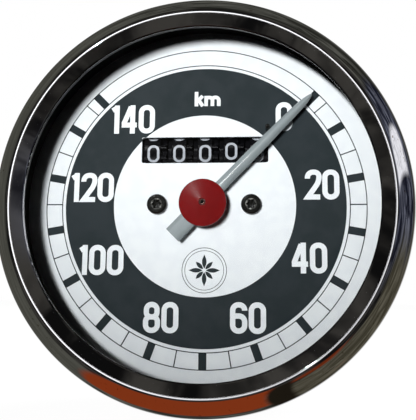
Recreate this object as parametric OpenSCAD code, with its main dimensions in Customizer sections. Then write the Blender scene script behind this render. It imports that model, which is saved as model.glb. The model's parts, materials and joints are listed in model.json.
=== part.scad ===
// Round motorcycle speedometer of the eddy-current kind with a five-wheel distance counter.
// Every piece is drawn with z along the dial axis, x to the right and y up on the dial, from the
// outer face of the case back, and is then turned so that the dial looks along -Y with +Z up.

/* [Dial] */
// How far the dial's edge lies inside the case's outer wall
dial_in = 0.7; // [0.5:0.1:1.5]
// Thickness of the dial plate
dial_t = 0.8; // [0.5:0.1:1.2]
// Width of the counter window in the dial
window_w = 24.9; // [20:0.1:25.4]
// Height of the counter window in the dial
window_h = 4.95; // [4:0.05:6]
// Distance of each dial screw from the dial axis
dial_screw_x = 9.1; // [8:0.1:10]
// Radius of the dial screw heads
dial_screw_head_r = 1.95; // [1.6:0.05:2.1]
// Radius of the dial screw shanks
dial_screw_r = 0.95; // [0.7:0.05:1]
// Radius of the hole in the dial for the spindle
dial_hole_r = 1.6; // [1.2:0.1:2.5]

/* [Pointer] */
// Clock angle of the pointer at rest
pointer_rest = 44.5; // [40:0.5:60]
// Length of the pointer from the axis to its tip
pointer_l = 29.4; // [24:0.1:32]
// Length of the pointer's tail from the axis
pointer_tail = 8.4; // [6:0.1:12]
// Width of the pointer at the end of its tail
pointer_tail_w = 3.7; // [3:0.1:4.5]
// Width of the pointer where its tip begins
pointer_tip_w = 1.7; // [1:0.1:2.4]
// Height of the pointer's underside above the dial
pointer_lift = 2; // [1.2:0.1:3]
// Thickness of the pointer at its ridge
pointer_t = 0.9; // [0.6:0.1:1.4]
// Radius of the cap over the middle of the pointer
cap_r = 4.52; // [3.5:0.02:6]
// Height of the cap at its middle
cap_t = 1.4; // [1:0.1:2.5]
// Radius of the spindle
spindle_r = 0.5; // [0.4:0.05:0.7]
// Radius of the stop pin
stop_r = 0.45; // [0.3:0.05:0.7]
// Distance of the stop pin from the dial axis
stop_at = 19.2; // [14:0.1:24]

/* [Bezel and glass] */
// Gap between the bezel's skirt and the case rim
bezel_gap = 0.3; // [0.1:0.1:1.5]
// Thickness of the bezel's sheet
bezel_t = 0.8; // [0.6:0.1:1]
// How far the lip's opening lies inside the case's outer wall
lip_in = 3.1; // [2.6:0.1:3.6]
// Width of the band between the lip's opening and the crest
lip_w = 2.4; // [1.8:0.1:2.8]
// Height of the crest above the dial
crest_h = 11; // [10:0.1:13]
// Height of the widest part of the bezel above the dial
shoulder_h = 4.2; // [3:0.1:5]
// Drop from the crest to the lip
lip_drop = 0.7; // [0.4:0.1:1.2]
// How far the glass reaches under the lip
glass_lap = 3.3; // [2.6:0.1:3.6]
// Thickness of the glass
glass_t = 2; // [1.5:0.1:2.5]
// Thickness of the gasket under the glass
gasket_t = 0.8; // [0.5:0.1:1.2]

/* [Case] */
// Outer radius of the case
case_r = 35.4; // [33:0.1:40]
// Thickness of the case's sheet
case_t = 0.8; // [0.6:0.1:1]
// Thickness of the case's floor
floor_t = 1; // [0.8:0.1:1.5]
// Radius of the corner between wall and floor
corner_r = 4; // [2:0.5:5]
// How much the case widens under the rubber ring
step_w = 0.4; // [0.3:0.1:0.6]
// Width of the rim around the case
rim_w = 2.6; // [2.4:0.1:3.2]
// Thickness of the rubber ring behind the bezel
seat_t = 2; // [1:0.1:4]

/* [Movement] */
// Thickness of the movement plates
plate_t = 1.5; // [1.2:0.1:2.5]
// Radius of the front movement plate
front_plate_r = 27; // [26.5:0.1:30]
// Radius of the rear movement plate
rear_plate_r = 19; // [18.7:0.1:19.4]
// Distance of the pillars from the axis
pillar_at = 16; // [15.6:0.1:16.4]
// Radius of the pillars
pillar_r = 2.4; // [2:0.1:2.5]
// Radius of the rotating magnet
magnet_r = 9.4; // [8:0.1:9.6]
// Thickness of the rotating magnet
magnet_t = 4.6; // [3:0.1:7]
// Inner radius of the speed cup
cup_r = 10; // [9.9:0.05:10.2]
// Thickness of the speed cup's sheet
cup_t = 0.4; // [0.3:0.05:0.5]
// Inner radius of the field cup
field_r = 11; // [10.8:0.05:11.2]
// Wall thickness of the field cup
field_t = 0.9; // [0.7:0.1:1.2]
// Outer radius of the hairspring
spring_r = 5; // [4:0.1:6]
// Turns of the hairspring
spring_turns = 5; // [3:1:6]

/* [Drive] */
// Tooth size of the worm wheels, pitch radius over half the teeth
worm_module = 0.4; // [0.38:0.01:0.42]
// Pitch radius of the worms
worm_r = 1.6; // [1.55:0.05:1.7]
// Teeth of the worm wheels on the cross shaft and the lay shaft
worm_teeth = 20; // [20:1:20]
// Teeth of the gear beside the last number wheel
counter_gear_teeth = 25; // [25:1:25]
// Width of the worm wheels
worm_wheel_w = 1.6; // [1.2:0.1:2]
// Radius of the cross shaft and the lay shaft
train_shaft_r = 0.8; // [0.6:0.05:0.9]
// Radius of the input shaft's journal
journal_r = 2.6; // [2.4:0.05:2.8]
// Width across the square socket for the cable
drive_square = 2.7; // [2.5:0.1:3]
// Depth of the square socket
drive_depth = 9; // [6:0.5:10]
// Outer radius of the threaded cable spigot
spigot_r = 6; // [6:0.5:8]
// Length of the threaded cable spigot
spigot_l = 12; // [10:0.5:16]

/* [Counter] */
// Height of the counter's axle above the dial axis
counter_y = 10.75; // [10.5:0.05:11]
// Radius of the number wheels
wheel_r = 7; // [6.9:0.05:7.2]
// Spacing of the number wheels
wheel_pitch = 5.15; // [5.1:0.01:5.3]
// Number of number wheels
wheels = 5; // [5:1:5]
// Gap between neighbouring number wheels
wheel_gap = 0.15; // [0.1:0.05:0.3]
// Gap between the number wheels and the dial's back
wheel_front_gap = 0.4; // [0.3:0.1:1]
// Radius of the counter's axle
axle_r = 1; // [0.8:0.05:1.2]
// Tooth size of the carry gears
carry_module = 0.62; // [0.61:0.01:0.63]
// Teeth of the gear on each number wheel
carry_teeth = 20; // [20:1:20]
// Teeth of each transfer pinion
pinion_teeth = 8; // [8:1:8]
// Radius of the pinion axle
pinion_axle_r = 0.6; // [0.5:0.05:0.7]

/* [Fastening] */
// Radius of the rear studs
stud_r = 2.5; // [2:0.5:3]
// Width of the shoulder where the rear studs pass the case's floor
stud_neck = 0.5; // [0.3:0.1:0.8]
// Length of the rear studs behind the case
stud_l = 14; // [10:1:20]
// Distance of each rear stud from the axis
stud_at = 24; // [23.6:0.2:25.6]
// Radius of the lamp holder's barrel
lamp_r = 4.8; // [4.4:0.1:5]
// Distance of the lamp holder from the case's outer wall
lamp_in = 10.8; // [10.6:0.1:11]
// Clock angle of the lamp holder
lamp_angle = 250; // [240:1:262]

/* [Clearances] */
// Radial clearance of a shaft in its bearing
running_gap = 0.05; // [0.03:0.01:0.08]
// Clearance between pieces that are fitted without play
seat_gap = 0.02; // [0.01:0.01:0.05]
// Air gap around the magnet and the cups
air_gap = 0.6; // [0.5:0.1:1]
// End play of a shaft or a wheel
end_play = 0.1; // [0.05:0.05:0.2]

/* [Hidden] */
$fn = 64;
// Radii that follow the case's wall
dial_r = case_r - dial_in;
step_r = case_r + step_w;
rim_r = case_r + rim_w;
bezel_r = rim_r + bezel_gap + bezel_t;
lip_r = case_r - lip_in;
crest_r = lip_r + lip_w;
glass_r = lip_r + glass_lap;
gasket_r = glass_r + 1;
lamp_at = case_r - lamp_in;
stud_neck_r = stud_r + stud_neck;
// The drive, from the back of the case forwards
rear_plate_z = floor_t + plate_t;
worm_wheel_r = worm_module * worm_teeth / 2;
tooth_out = 0.35;
core_gap = 0.15;
tip_out = worm_wheel_r + tooth_out;
worm_lead = PI * worm_module;
worm_core_r = worm_r - tooth_out - core_gap;
worm_centres = worm_r + worm_wheel_r;
train_gap = 0.65;
train_z = rear_plate_z + tip_out + train_gap;
field_z = train_z + tip_out + train_gap;
field_floor_t = 1;
magnet_z = field_z + field_floor_t;
magnet_bore_r = 1.65;
cup_z = magnet_z + magnet_t + air_gap;
front_plate_z = cup_z + cup_t + 0.8;
front_face_z = front_plate_z + plate_t;
// The spindle's rear pivot and the gap between the speed cup and the input shaft's nose
pivot_r = spindle_r - 0.1;
pivot_l = 3.4;
nose_gap = 0.4;
// The counter
drum_room = 1.2;
drum_z = front_face_z + drum_room + wheel_r;
wheel_w = wheel_pitch - wheel_gap;
carry_r = carry_module * carry_teeth / 2;
pinion_pitch_r = carry_module * pinion_teeth / 2;
carry_centres = carry_r + pinion_pitch_r;
carry_w = 1.1;
lock_w = 0.95;
lock_r = 5.35;
carry_tip_r = 6.2;
pinion_tip_r = pinion_pitch_r + 0.5;
pinion_y = counter_y + carry_centres;
group_half = wheels * wheel_pitch / 2 - wheel_gap / 2;
counter_gear_r = worm_module * counter_gear_teeth / 2;
counter_gear_w = 1.8;
gear_x = group_half + 0.4 + worm_r + tooth_out;
// The lay shaft stands where its worm meets the gear beside the last number wheel
lay_x = gear_x;
lay_y = counter_y - worm_r - counter_gear_r;
lay_at = norm([lay_x, lay_y]);
train_angle = atan2(lay_y, lay_x);
side_plate_t = 1;
right_plate_x = gear_x + worm_r + tooth_out + end_play;
left_plate_x = -group_half - end_play;
// The dial and what stands in front of it
dial_back_z = drum_z + wheel_r + wheel_front_gap;
dial_z = dial_back_z + dial_t;
rim_t = 1;
rim_z = dial_back_z - 0.4 - rim_t;
crimp_z = rim_z - bezel_t;
seat_z = crimp_z - seat_t;
seat_bore_r = step_r + 0.1;
// Height where the case's wall begins to widen, just inside the rubber ring
step_z = seat_z + 0.1;
crest_z = dial_z + crest_h;
shoulder_z = dial_z + shoulder_h;
lip_z = crest_z - lip_drop - bezel_t;
glass_z = lip_z - glass_t;
gasket_z = glass_z - gasket_t;
pointer_z = dial_z + pointer_lift;
cap_z = pointer_z + pointer_t;
// The pointer touches the stop pin with its side
shoulder_at = pointer_l - 2.1;
pointer_half_at_stop = (pointer_tail_w
    - (pointer_tail_w - pointer_tip_w) * (pointer_tail + stop_at) / (pointer_tail + shoulder_at)) / 2;
stop_angle = pointer_rest - asin((pointer_half_at_stop + stop_r + seat_gap) / stop_at);

// Points along a circular arc
function arc(centre, r, from, to, steps = 12) =
    [for (i = [0:steps]) let (a = from + (to - from) * i / steps) centre + r * [cos(a), sin(a)]];

// Points along a quarter of an ellipse, from its outer end to its crest
function dome(centre, size, steps = 14) =
    [for (i = [0:steps]) let (a = 90 * i / steps) centre + [size[0] * cos(a), size[1] * sin(a)]];

// Outline of a gear whose teeth taper from root to tip, with a tooth centred on angle zero
function gear_outline(teeth, root_r, tip_r, root_w, tip_w) =
    [for (i = [0:teeth - 1])
        for (corner = [[-1, root_r, root_w], [-1, tip_r, tip_w], [1, tip_r, tip_w], [1, root_r, root_w]])
            let (a = 360 * i / teeth + corner[0] * asin(corner[2] / 2 / corner[1]))
                corner[1] * [cos(a), sin(a)]];

// Turns the drawing so that the dial looks along -Y
module facing() {
    rotate([90, 0, 0]) children();
}

// Lays a shaft that is drawn along z along x
module along_x() {
    rotate([0, 90, 0]) children();
}

// A place on the dial by clock angle and distance from the axis
module clock(angle, distance) {
    rotate([0, 0, -angle]) translate([0, distance, 0]) children();
}

module ring(z, h, outer, inner) {
    translate([0, 0, z]) difference() {
        cylinder(r = outer, h = h);
        translate([0, 0, -1]) cylinder(r = inner, h = h + 2);
    }
}

// Toothed rim of a worm wheel
module worm_wheel_teeth(teeth, pitch_r, w) {
    root_r = pitch_r - tooth_out - core_gap;
    linear_extrude(w, center = true)
        polygon(gear_outline(teeth, root_r, pitch_r + tooth_out, 0.62, 0.26));
}

// One-start thread around a worm; its ridge crosses z = 0 on the +x side, hand is 1 or -1
module worm_thread(turns, hand = 1) {
    steps = 14;
    count = round(turns * steps);
    inner = worm_core_r - 0.1;
    outer = worm_r + tooth_out;
    section = [[inner, -0.28], [outer, -0.12], [outer, 0.12], [inner, 0.28]];
    points = [for (i = [0:count])
        let (a = 360 * (i - count / 2) / steps, z = hand * worm_lead * (i - count / 2) / steps)
            for (corner = section) [corner[0] * cos(a), corner[0] * sin(a), z + corner[1]]];
    sides = [for (i = [0:count - 1]) for (k = [0:3])
        let (a = 4 * i + k, b = 4 * i + (k + 1) % 4) each [[a, b, a + 4], [b, b + 4, a + 4]]];
    ends = [[3, 2, 1], [3, 1, 0], [4 * count, 4 * count + 1, 4 * count + 2],
        [4 * count, 4 * count + 2, 4 * count + 3]];
    polyhedron(points, concat(sides, ends));
}

// Pan-head screw whose head stands on z = 0 and whose shank hangs below it
module screw(head_r, head_t, shank_r, shank_l) {
    rotate_extrude() polygon(concat([[0, -shank_l], [shank_r, -shank_l], [shank_r, 0], [head_r, 0]],
        arc([head_r - head_t * 0.6, head_t * 0.4], head_t * 0.6, 0, 90, 6), [[0, head_t]]));
}

/* Front of the instrument */

// Rolled sheet ring: lip, crest, domed side, skirt and the edge crimped behind the case rim
module bezel() {
    bend = 1.2;
    inner_bend = bend - bezel_t;
    crimp_r = step_r + 0.5;
    top = crest_z - bezel_t;
    domed = [bezel_r - crest_r, crest_z - shoulder_z];
    hollow = dome([crest_r, shoulder_z], domed - [bezel_t, bezel_t]);
    outside = concat(
        [[crimp_r, crimp_z]],
        arc([bezel_r - bend, crimp_z + bend], bend, -90, 0, 5),
        dome([crest_r, shoulder_z], domed),
        arc([lip_r + bezel_t / 2, crest_z - lip_drop - bezel_t / 2], bezel_t / 2, 90, 270, 8));
    inside = concat(
        [[crest_r, top]],
        [for (i = [len(hollow) - 2:-1:0]) hollow[i]],
        arc([bezel_r - bend, crimp_z + bend], inner_bend, 0, -90, 4),
        [[crimp_r, crimp_z + bezel_t]]);
    color("gainsboro") facing() rotate_extrude($fn = 128) polygon(concat(outside, inside));
}

module lens_glass() {
    color([0.8, 0.85, 0.85, 0.4]) facing() translate([0, 0, glass_z]) cylinder(r = glass_r, h = glass_t);
}

// Rubber ring under the glass with a low wall around its edge
module lens_gasket() {
    color("dimgray") facing() {
        difference() {
            translate([0, 0, gasket_z]) cylinder(r = gasket_r, h = gasket_t + glass_t / 2);
            translate([0, 0, glass_z]) cylinder(r = glass_r + seat_gap, h = glass_t);
            translate([0, 0, gasket_z - 1]) cylinder(r = lip_r + 0.9, h = glass_t + 2);
        }
    }
}

// Black ring that stands on the case rim, carries the gasket and hides the edge of the dial
module glare_ring() {
    wall_r = dial_r + 0.2;
    wall_t = 1.1;
    foot_z = rim_z + rim_t;
    ledge_r = lip_r + 0.9;
    color("black") facing() rotate_extrude($fn = 128) polygon([
        [wall_r, foot_z], [rim_r - 0.1, foot_z], [rim_r - 0.1, foot_z + 1],
        [wall_r + wall_t, foot_z + 1.6], [wall_r + wall_t, gasket_z - 2], [gasket_r, gasket_z - 1.2],
        [gasket_r, gasket_z], [ledge_r, gasket_z], [ledge_r, gasket_z - 0.8], [wall_r, gasket_z - 2.6]]);
}

module dial_plate() {
    color("whitesmoke") facing() difference() {
        translate([0, 0, dial_back_z]) cylinder(r = dial_r, h = dial_t, $fn = 128);
        translate([0, 0, dial_back_z - 1]) {
            cylinder(r = dial_hole_r, h = dial_t + 2);
            translate([-window_w / 2, counter_y - window_h / 2, 0]) cube([window_w, window_h, dial_t + 2]);
            for (side = [-1, 1])
                translate([side * dial_screw_x, 0, 0]) cylinder(r = dial_screw_r + seat_gap, h = dial_t + 2);
            clock(stop_angle, stop_at) cylinder(r = stop_r, h = dial_t + 2);
        }
    }
}

dial_screw_head_t = 1.2;
dial_screw_l = 4;

// Two screws through the dial into the posts
module dial_screws() {
    color("black") facing() for (side = [-1, 1])
        translate([side * dial_screw_x, 0, dial_z])
            screw(dial_screw_head_r, dial_screw_head_t, dial_screw_r, dial_screw_l);
}

// Pin riveted into the dial, high enough to stop the pointer
module stop_pin() {
    color("black") facing() clock(stop_angle, stop_at) {
        translate([0, 0, dial_back_z]) cylinder(r = stop_r, h = cap_z + 0.3 - dial_back_z);
        translate([0, 0, dial_back_z - 0.3]) cylinder(r = stop_r + 0.3, h = 0.3);
    }
}

/* Pointer and what turns with it */

pointer_eye_r = 1.5;

// Roof-shaped blade: flat underside, sloping sides and a ridge along its middle
module pointer() {
    edge_t = 0.3;
    tail = pointer_tail_w / 2;
    tip = pointer_tip_w / 2;
    // Outline at the underside, and the ridge above it
    outline = [[-tail, -pointer_tail], [tail, -pointer_tail], [tip, shoulder_at], [0.25, pointer_l],
        [-0.25, pointer_l], [-tip, shoulder_at]];
    base = [for (p = outline) [p[0], p[1], 0]];
    edge = [for (p = outline) [p[0], p[1], edge_t]];
    ridge = [[0, -pointer_tail, pointer_t], [0, pointer_l, edge_t + 0.2]];
    points = concat(base, edge, ridge);
    sides = [for (i = [0:5]) let (j = (i + 1) % 6) each [[i, j, j + 6], [i, j + 6, i + 6]]];
    roof = [[6, 7, 12], [7, 8, 13], [7, 13, 12], [8, 9, 13], [9, 10, 13], [10, 11, 13], [11, 12, 13],
        [11, 6, 12]];
    under = [for (i = [1:4]) [0, i + 1, i]];
    color("lightslategray") facing() clock(pointer_rest, 0) translate([0, 0, pointer_z]) difference() {
        polyhedron(points, [for (f = concat(sides, roof, under)) [f[2], f[1], f[0]]]);
        translate([0, 0, -1]) cylinder(r = pointer_eye_r, h = pointer_t + 2);
    }
}

// Shallow red cap with a skirt that fills the pointer's eye and a brass-lined hole
module pointer_cap() {
    edge_t = 0.55;
    bore = spindle_r + seat_gap;
    skirt_r = pointer_eye_r - seat_gap;
    color("darkred") facing() translate([0, 0, pointer_z]) rotate_extrude() polygon(concat(
        [[bore, 0], [skirt_r, 0], [skirt_r, pointer_t], [cap_r - 0.2, pointer_t],
            [cap_r, pointer_t + 0.2], [cap_r, pointer_t + edge_t]],
        [for (i = [1:6]) let (r = cap_r * (1 - i / 6)) if (r > bore + 0.35)
            [r, pointer_t + edge_t + (cap_t - edge_t) * sin(15 * i)]],
        [[bore + 0.3, pointer_t + cap_t], [bore, pointer_t + cap_t - 0.3]]));
}

// Steel spindle with a thin rear pivot that runs in the nose of the input shaft
module pointer_spindle() {
    pivot_z = cup_z - pivot_l;
    body_z = cup_z - nose_gap / 2;
    end_z = cap_z + cap_t - 0.2;
    color("goldenrod") facing() {
        translate([0, 0, body_z]) cylinder(r = spindle_r, h = end_z - body_z);
        translate([0, 0, pivot_z]) cylinder(r = pivot_r, h = body_z - pivot_z);
    }
}

// Aluminium drag cup, open towards the back
module speed_cup() {
    depth = magnet_t - 0.1 + air_gap;
    color("silver") facing() difference() {
        union() {
            translate([0, 0, cup_z - depth]) cylinder(r = cup_r + cup_t, h = depth + cup_t);
            translate([0, 0, cup_z]) cylinder(r = 1.3, h = cup_t + 0.5);
        }
        translate([0, 0, cup_z - depth - 1]) cylinder(r = cup_r, h = depth + 1);
        translate([0, 0, cup_z - 1]) cylinder(r = spindle_r + seat_gap, h = 3);
    }
}

collet_r = 1.2;
spring_z = front_face_z + 0.5;
spring_h = 0.5;
spring_w = 0.14;
stud_pin_r = 0.5;

module hairspring_collet() {
    color("goldenrod") facing()
        ring(spring_z - 0.15, spring_h + 0.5, collet_r, spindle_r + seat_gap);
}

// Flat spiral strip from the collet to the stud on the front plate
module hairspring() {
    steps = 24 * spring_turns;
    start_r = collet_r + spring_w / 2 + seat_gap;
    end_r = spring_r;
    centre = [for (i = [0:steps]) let (t = i / steps)
        [start_r + (end_r - start_r) * t, 360 * spring_turns * t]];
    inner = [for (p = centre) (p[0] - spring_w / 2) * [cos(p[1]), sin(p[1])]];
    outer = [for (i = [steps:-1:0]) let (p = centre[i]) (p[0] + spring_w / 2) * [cos(p[1]), sin(p[1])]];
    color("orange") facing() rotate([0, 0, -90]) translate([0, 0, spring_z])
        linear_extrude(spring_h) polygon(concat(inner, outer));
}

// Pin on the front plate that holds the outer end of the hairspring
module hairspring_stud() {
    color("goldenrod") facing() translate([0, -spring_r - stud_pin_r - spring_w / 2 - seat_gap, front_face_z])
        cylinder(r = stud_pin_r, h = 1.6);
}

/* Frame of the movement */

bush_r = 1.8;
post_r = 2;
post_neck_r = 1.2;

// Brass bearing of the spindle in the front plate
module spindle_bush() {
    color("goldenrod") facing() {
        ring(front_plate_z, plate_t, bush_r, spindle_r + running_gap);
        ring(front_plate_z - 0.2, 0.2, bush_r + 0.5, spindle_r + running_gap);
    }
}

module dial_posts() {
    color("silver") facing() for (side = [-1, 1]) translate([side * dial_screw_x, 0, 0]) {
        ring(front_face_z, dial_back_z - front_face_z, post_r, dial_screw_r + seat_gap);
        translate([0, 0, front_plate_z]) cylinder(r = post_neck_r, h = plate_t + 0.5);
    }
}

pillar_angles = [0, 120, 240];
plate_screw_r = 1.2;
plate_screw_head_r = 2.2;
plate_screw_head_t = 1;
plate_screw_bite = 3;
counter_foot_x = 3;
counter_foot_t = 0.8;
counter_screw_r = 0.8;
counter_screw_head_r = 1.6;
counter_screw_y = [8, 14];
counter_screw_x = side_plate_t + counter_foot_x - 0.6;

module front_plate() {
    color("darkgray") facing() difference() {
        translate([0, 0, front_plate_z]) cylinder(r = front_plate_r, h = plate_t);
        translate([0, 0, front_plate_z - 1]) {
            cylinder(r = bush_r + seat_gap, h = plate_t + 2);
            for (side = [-1, 1])
                translate([side * dial_screw_x, 0, 0]) cylinder(r = post_neck_r + seat_gap, h = plate_t + 2);
            for (a = pillar_angles) clock(a, pillar_at) cylinder(r = plate_screw_r + 0.1, h = plate_t + 2);
            translate([lay_x, lay_y, 0]) cylinder(r = train_shaft_r + running_gap, h = plate_t + 2);
            counter_feet() cylinder(r = counter_screw_r + seat_gap, h = plate_t + 2);
            // Openings that let the lamp's light through to the dial
            for (a = [200, 300]) clock(a, front_plate_r - 6) cylinder(r = 3.5, h = plate_t + 2);
        }
    }
}

// Places of the four screws that hold the counter's side plates
module counter_feet() {
    for (y = counter_screw_y) {
        translate([right_plate_x + counter_screw_x, y, 0]) children();
        translate([left_plate_x - counter_screw_x, y, 0]) children();
    }
}

module plate_screws() {
    color("silver") facing() for (a = pillar_angles)
        clock(a, pillar_at) translate([0, 0, front_face_z])
            screw(plate_screw_head_r, plate_screw_head_t, plate_screw_r, plate_t + plate_screw_bite);
}

// Pillars between the plates, drilled at both ends
module pillars() {
    length = front_plate_z - rear_plate_z;
    color("silver") facing() for (a = pillar_angles) clock(a, pillar_at) difference() {
        translate([0, 0, rear_plate_z]) cylinder(r = pillar_r, h = length);
        translate([0, 0, front_plate_z - plate_screw_bite - 0.5])
            cylinder(r = plate_screw_r + seat_gap, h = plate_screw_bite + 2);
    }
}

block_half = 2;
block_t = 2;
left_block_at = -6;
right_block_at = lay_at + 4.6;
case_screw_at = 14.5;
case_screw_angles = [50, 230];
case_screw_r = 1.4;
case_screw_head_r = 2.75;
case_screw_head_t = 1.8;

// Cast rear plate: disc, arm under the cross shaft and the two bearing blocks of that shaft
module rear_plate() {
    block_h = train_z + block_half - floor_t;
    color("darkgray") facing() difference() {
        union() {
            translate([0, 0, floor_t]) cylinder(r = rear_plate_r, h = plate_t);
            rotate([0, 0, train_angle]) translate([0, -worm_centres - block_half, floor_t]) {
                cube([right_block_at + block_t, 2 * block_half, plate_t]);
                for (x = [left_block_at, right_block_at])
                    translate([x, 0, 0]) cube([block_t, 2 * block_half, block_h]);
            }
        }
        cylinder(r = spigot_r - 1 + seat_gap, h = rear_plate_z + 1);
        translate([lay_x, lay_y, 0]) cylinder(r = train_shaft_r + running_gap, h = rear_plate_z + 1);
        rotate([0, 0, train_angle]) translate([left_block_at - 1, -worm_centres, train_z]) along_x()
            cylinder(r = train_shaft_r + running_gap, h = right_block_at - left_block_at + block_t + 2);
        for (a = case_screw_angles)
            clock(a, case_screw_at) cylinder(r = case_screw_r + 0.05, h = rear_plate_z + 1);
    }
}

/* Input shaft and its magnet */

module rotating_magnet() {
    color("dimgray") facing() ring(magnet_z, magnet_t, magnet_r, magnet_bore_r);
}

// Steel cup around the magnet and the speed cup; it turns with the magnet
module field_cup() {
    depth = magnet_t + air_gap - 0.3;
    color("slategray") facing() {
        ring(field_z, field_floor_t, field_r + field_t, magnet_bore_r);
        ring(field_z + field_floor_t, depth, field_r + field_t, field_r);
    }
}

washer_w = 1.8;
washer_t = 0.4;
bush_w = 0.9;
flange_z = rear_plate_z + washer_t;
shaft_end_z = -11.5;
bush_end_z = -10;

// Journal with a square socket, flange, first worm, seat for the magnet and a nose with a pivot hole
module input_shaft() {
    nose_z = cup_z - nose_gap;
    seat_r = magnet_bore_r - seat_gap;
    groove_z = bush_end_z - 0.6;
    color("silver") facing() {
        difference() {
            union() {
                translate([0, 0, shaft_end_z]) cylinder(r = journal_r, h = flange_z - shaft_end_z);
                translate([0, 0, flange_z]) cylinder(r = journal_r + 0.7, h = 0.5);
                translate([0, 0, flange_z]) cylinder(r = worm_core_r, h = field_z - flange_z);
                translate([0, 0, field_z - 0.5]) cylinder(r = seat_r + 0.6, h = 0.5);
                translate([0, 0, field_z]) cylinder(r = seat_r, h = nose_z - field_z);
            }
            ring(groove_z, 0.5, journal_r + 1, journal_r - 0.3);
            translate([0, 0, shaft_end_z + drive_depth / 2 - 1])
                cube([drive_square, drive_square, drive_depth + 2], center = true);
            translate([0, 0, cup_z - pivot_l - nose_gap])
                cylinder(r = pivot_r + running_gap, h = pivot_l + 1);
        }
        translate([0, 0, train_z]) rotate([0, 0, train_angle - 90]) worm_thread(4);
    }
}

module thrust_washer() {
    color("goldenrod") facing()
        ring(rear_plate_z, flange_z - rear_plate_z, journal_r + washer_w, journal_r + running_gap);
}

module shaft_bush() {
    color("goldenrod") facing()
        ring(bush_end_z, rear_plate_z - bush_end_z, journal_r + bush_w, journal_r + running_gap);
}

// Spring clip in the groove behind the bush
module shaft_circlip() {
    color("dimgray") facing() difference() {
        ring(bush_end_z - 0.58, 0.46, journal_r + 0.8, journal_r - 0.3 + seat_gap);
        translate([-0.8, 0, bush_end_z - 1]) cube([1.6, journal_r + 2, 2]);
    }
}

/* Worm train to the counter */

collar_r = 1.3;
collar_w = 0.6;
worm_l = 6.4;
wheel_hub_r = 2;
wheel_hub_out = 1;

// Shaft along the train's own x direction, with the second worm near its right end
module cross_shaft() {
    from = left_block_at + 0.2;
    to = right_block_at + block_t - 0.2;
    color("silver") facing() rotate([0, 0, train_angle]) translate([0, -worm_centres, train_z]) {
        translate([from, 0, 0]) along_x() cylinder(r = train_shaft_r, h = to - from);
        translate([left_block_at + block_t + end_play, 0, 0]) along_x() cylinder(r = collar_r, h = collar_w);
        translate([right_block_at - end_play - collar_w, 0, 0]) along_x()
            cylinder(r = collar_r, h = collar_w);
        translate([lay_at - worm_l / 2, 0, 0]) along_x() cylinder(r = worm_core_r, h = worm_l);
        translate([lay_at, 0, 0]) rotate([90, 0, 0]) along_x() worm_thread(4);
    }
}

module cross_wheel() {
    color("ivory") facing() rotate([0, 0, train_angle]) translate([0, -worm_centres, train_z]) along_x()
        difference() {
            union() {
                rotate([0, 0, 90 + 180 / worm_teeth])
                    worm_wheel_teeth(worm_teeth, worm_wheel_r, worm_wheel_w);
                cylinder(r = wheel_hub_r, h = worm_wheel_w + 2 * wheel_hub_out, center = true);
            }
            cylinder(r = train_shaft_r + seat_gap, h = worm_wheel_w + 4, center = true);
        }
}

lay_end_z = drum_z + 5.2;

// Upright shaft between the plates with the third worm, cut left-handed, at its front
module lay_shaft() {
    color("silver") facing() translate([lay_x, lay_y, 0]) {
        translate([0, 0, floor_t + 0.1]) cylinder(r = train_shaft_r, h = lay_end_z - floor_t - 0.1);
        translate([0, 0, rear_plate_z + end_play]) cylinder(r = collar_r, h = collar_w);
        translate([0, 0, front_plate_z - end_play - collar_w]) cylinder(r = collar_r, h = collar_w);
        translate([0, 0, drum_z - worm_l / 2]) cylinder(r = worm_core_r, h = worm_l);
        translate([0, 0, drum_z]) rotate([0, 0, 90]) worm_thread(4, -1);
    }
}

module lay_wheel() {
    color("ivory") facing() translate([lay_x, lay_y, train_z]) difference() {
        union() {
            rotate([0, 0, train_angle - 90 + 180 / worm_teeth])
                worm_wheel_teeth(worm_teeth, worm_wheel_r, worm_wheel_w);
            cylinder(r = wheel_hub_r, h = worm_wheel_w + 2 * wheel_hub_out, center = true);
        }
        cylinder(r = train_shaft_r + seat_gap, h = worm_wheel_w + 4, center = true);
    }
}

/* Distance counter */

side_plate_top = drum_z + 5.1;

// Upright side plate with a foot bent outwards; x is its inner face and side is 1 or -1
module counter_side(x, side) {
    low_y = lay_y - 1.8;
    high_y = pinion_y + 2.6;
    outline = concat(
        [[front_face_z, low_y], [side_plate_top, low_y], [side_plate_top, counter_y]],
        arc([drum_z + 2.2, pinion_y], 2.6, 30, 90, 4),
        [[front_face_z, high_y]]);
    translate([x, 0, 0]) mirror([side < 0 ? 1 : 0, 0, 0]) difference() {
        union() {
            rotate([0, 90, 0]) linear_extrude(side_plate_t) polygon([for (p = outline) [-p[0], p[1]]]);
            translate([0, counter_screw_y[0] - 2, front_face_z])
                cube([side_plate_t + counter_foot_x + 1, counter_screw_y[1] - counter_screw_y[0] + 4,
                    counter_foot_t]);
        }
        translate([-1, counter_y, drum_z]) along_x() cylinder(r = axle_r + seat_gap, h = side_plate_t + 2);
        translate([-1, pinion_y, drum_z]) along_x()
            cylinder(r = pinion_axle_r + seat_gap, h = side_plate_t + 2);
        for (y = counter_screw_y)
            translate([counter_screw_x, y, front_face_z - 1])
                cylinder(r = counter_screw_r + 0.2, h = counter_foot_t + 3);
    }
}

module counter_left_plate() {
    color("darkgray") facing() counter_side(left_plate_x, -1);
}

// The right plate also has a lug that carries the front end of the lay shaft
module counter_right_plate() {
    lug_t = 1.4;
    color("darkgray") facing() difference() {
        union() {
            counter_side(right_plate_x, 1);
            translate([lay_x - 1.8, lay_y - 1.8, side_plate_top - lug_t])
                cube([right_plate_x - lay_x + 1.9, 3.6, lug_t]);
        }
        translate([lay_x, lay_y, side_plate_top - 3]) cylinder(r = train_shaft_r + running_gap, h = 4);
    }
}

module counter_screws() {
    color("silver") facing() counter_feet() translate([0, 0, front_face_z + counter_foot_t])
        screw(counter_screw_head_r, 0.8, counter_screw_r, counter_foot_t + plate_t + 0.4);
}

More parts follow.
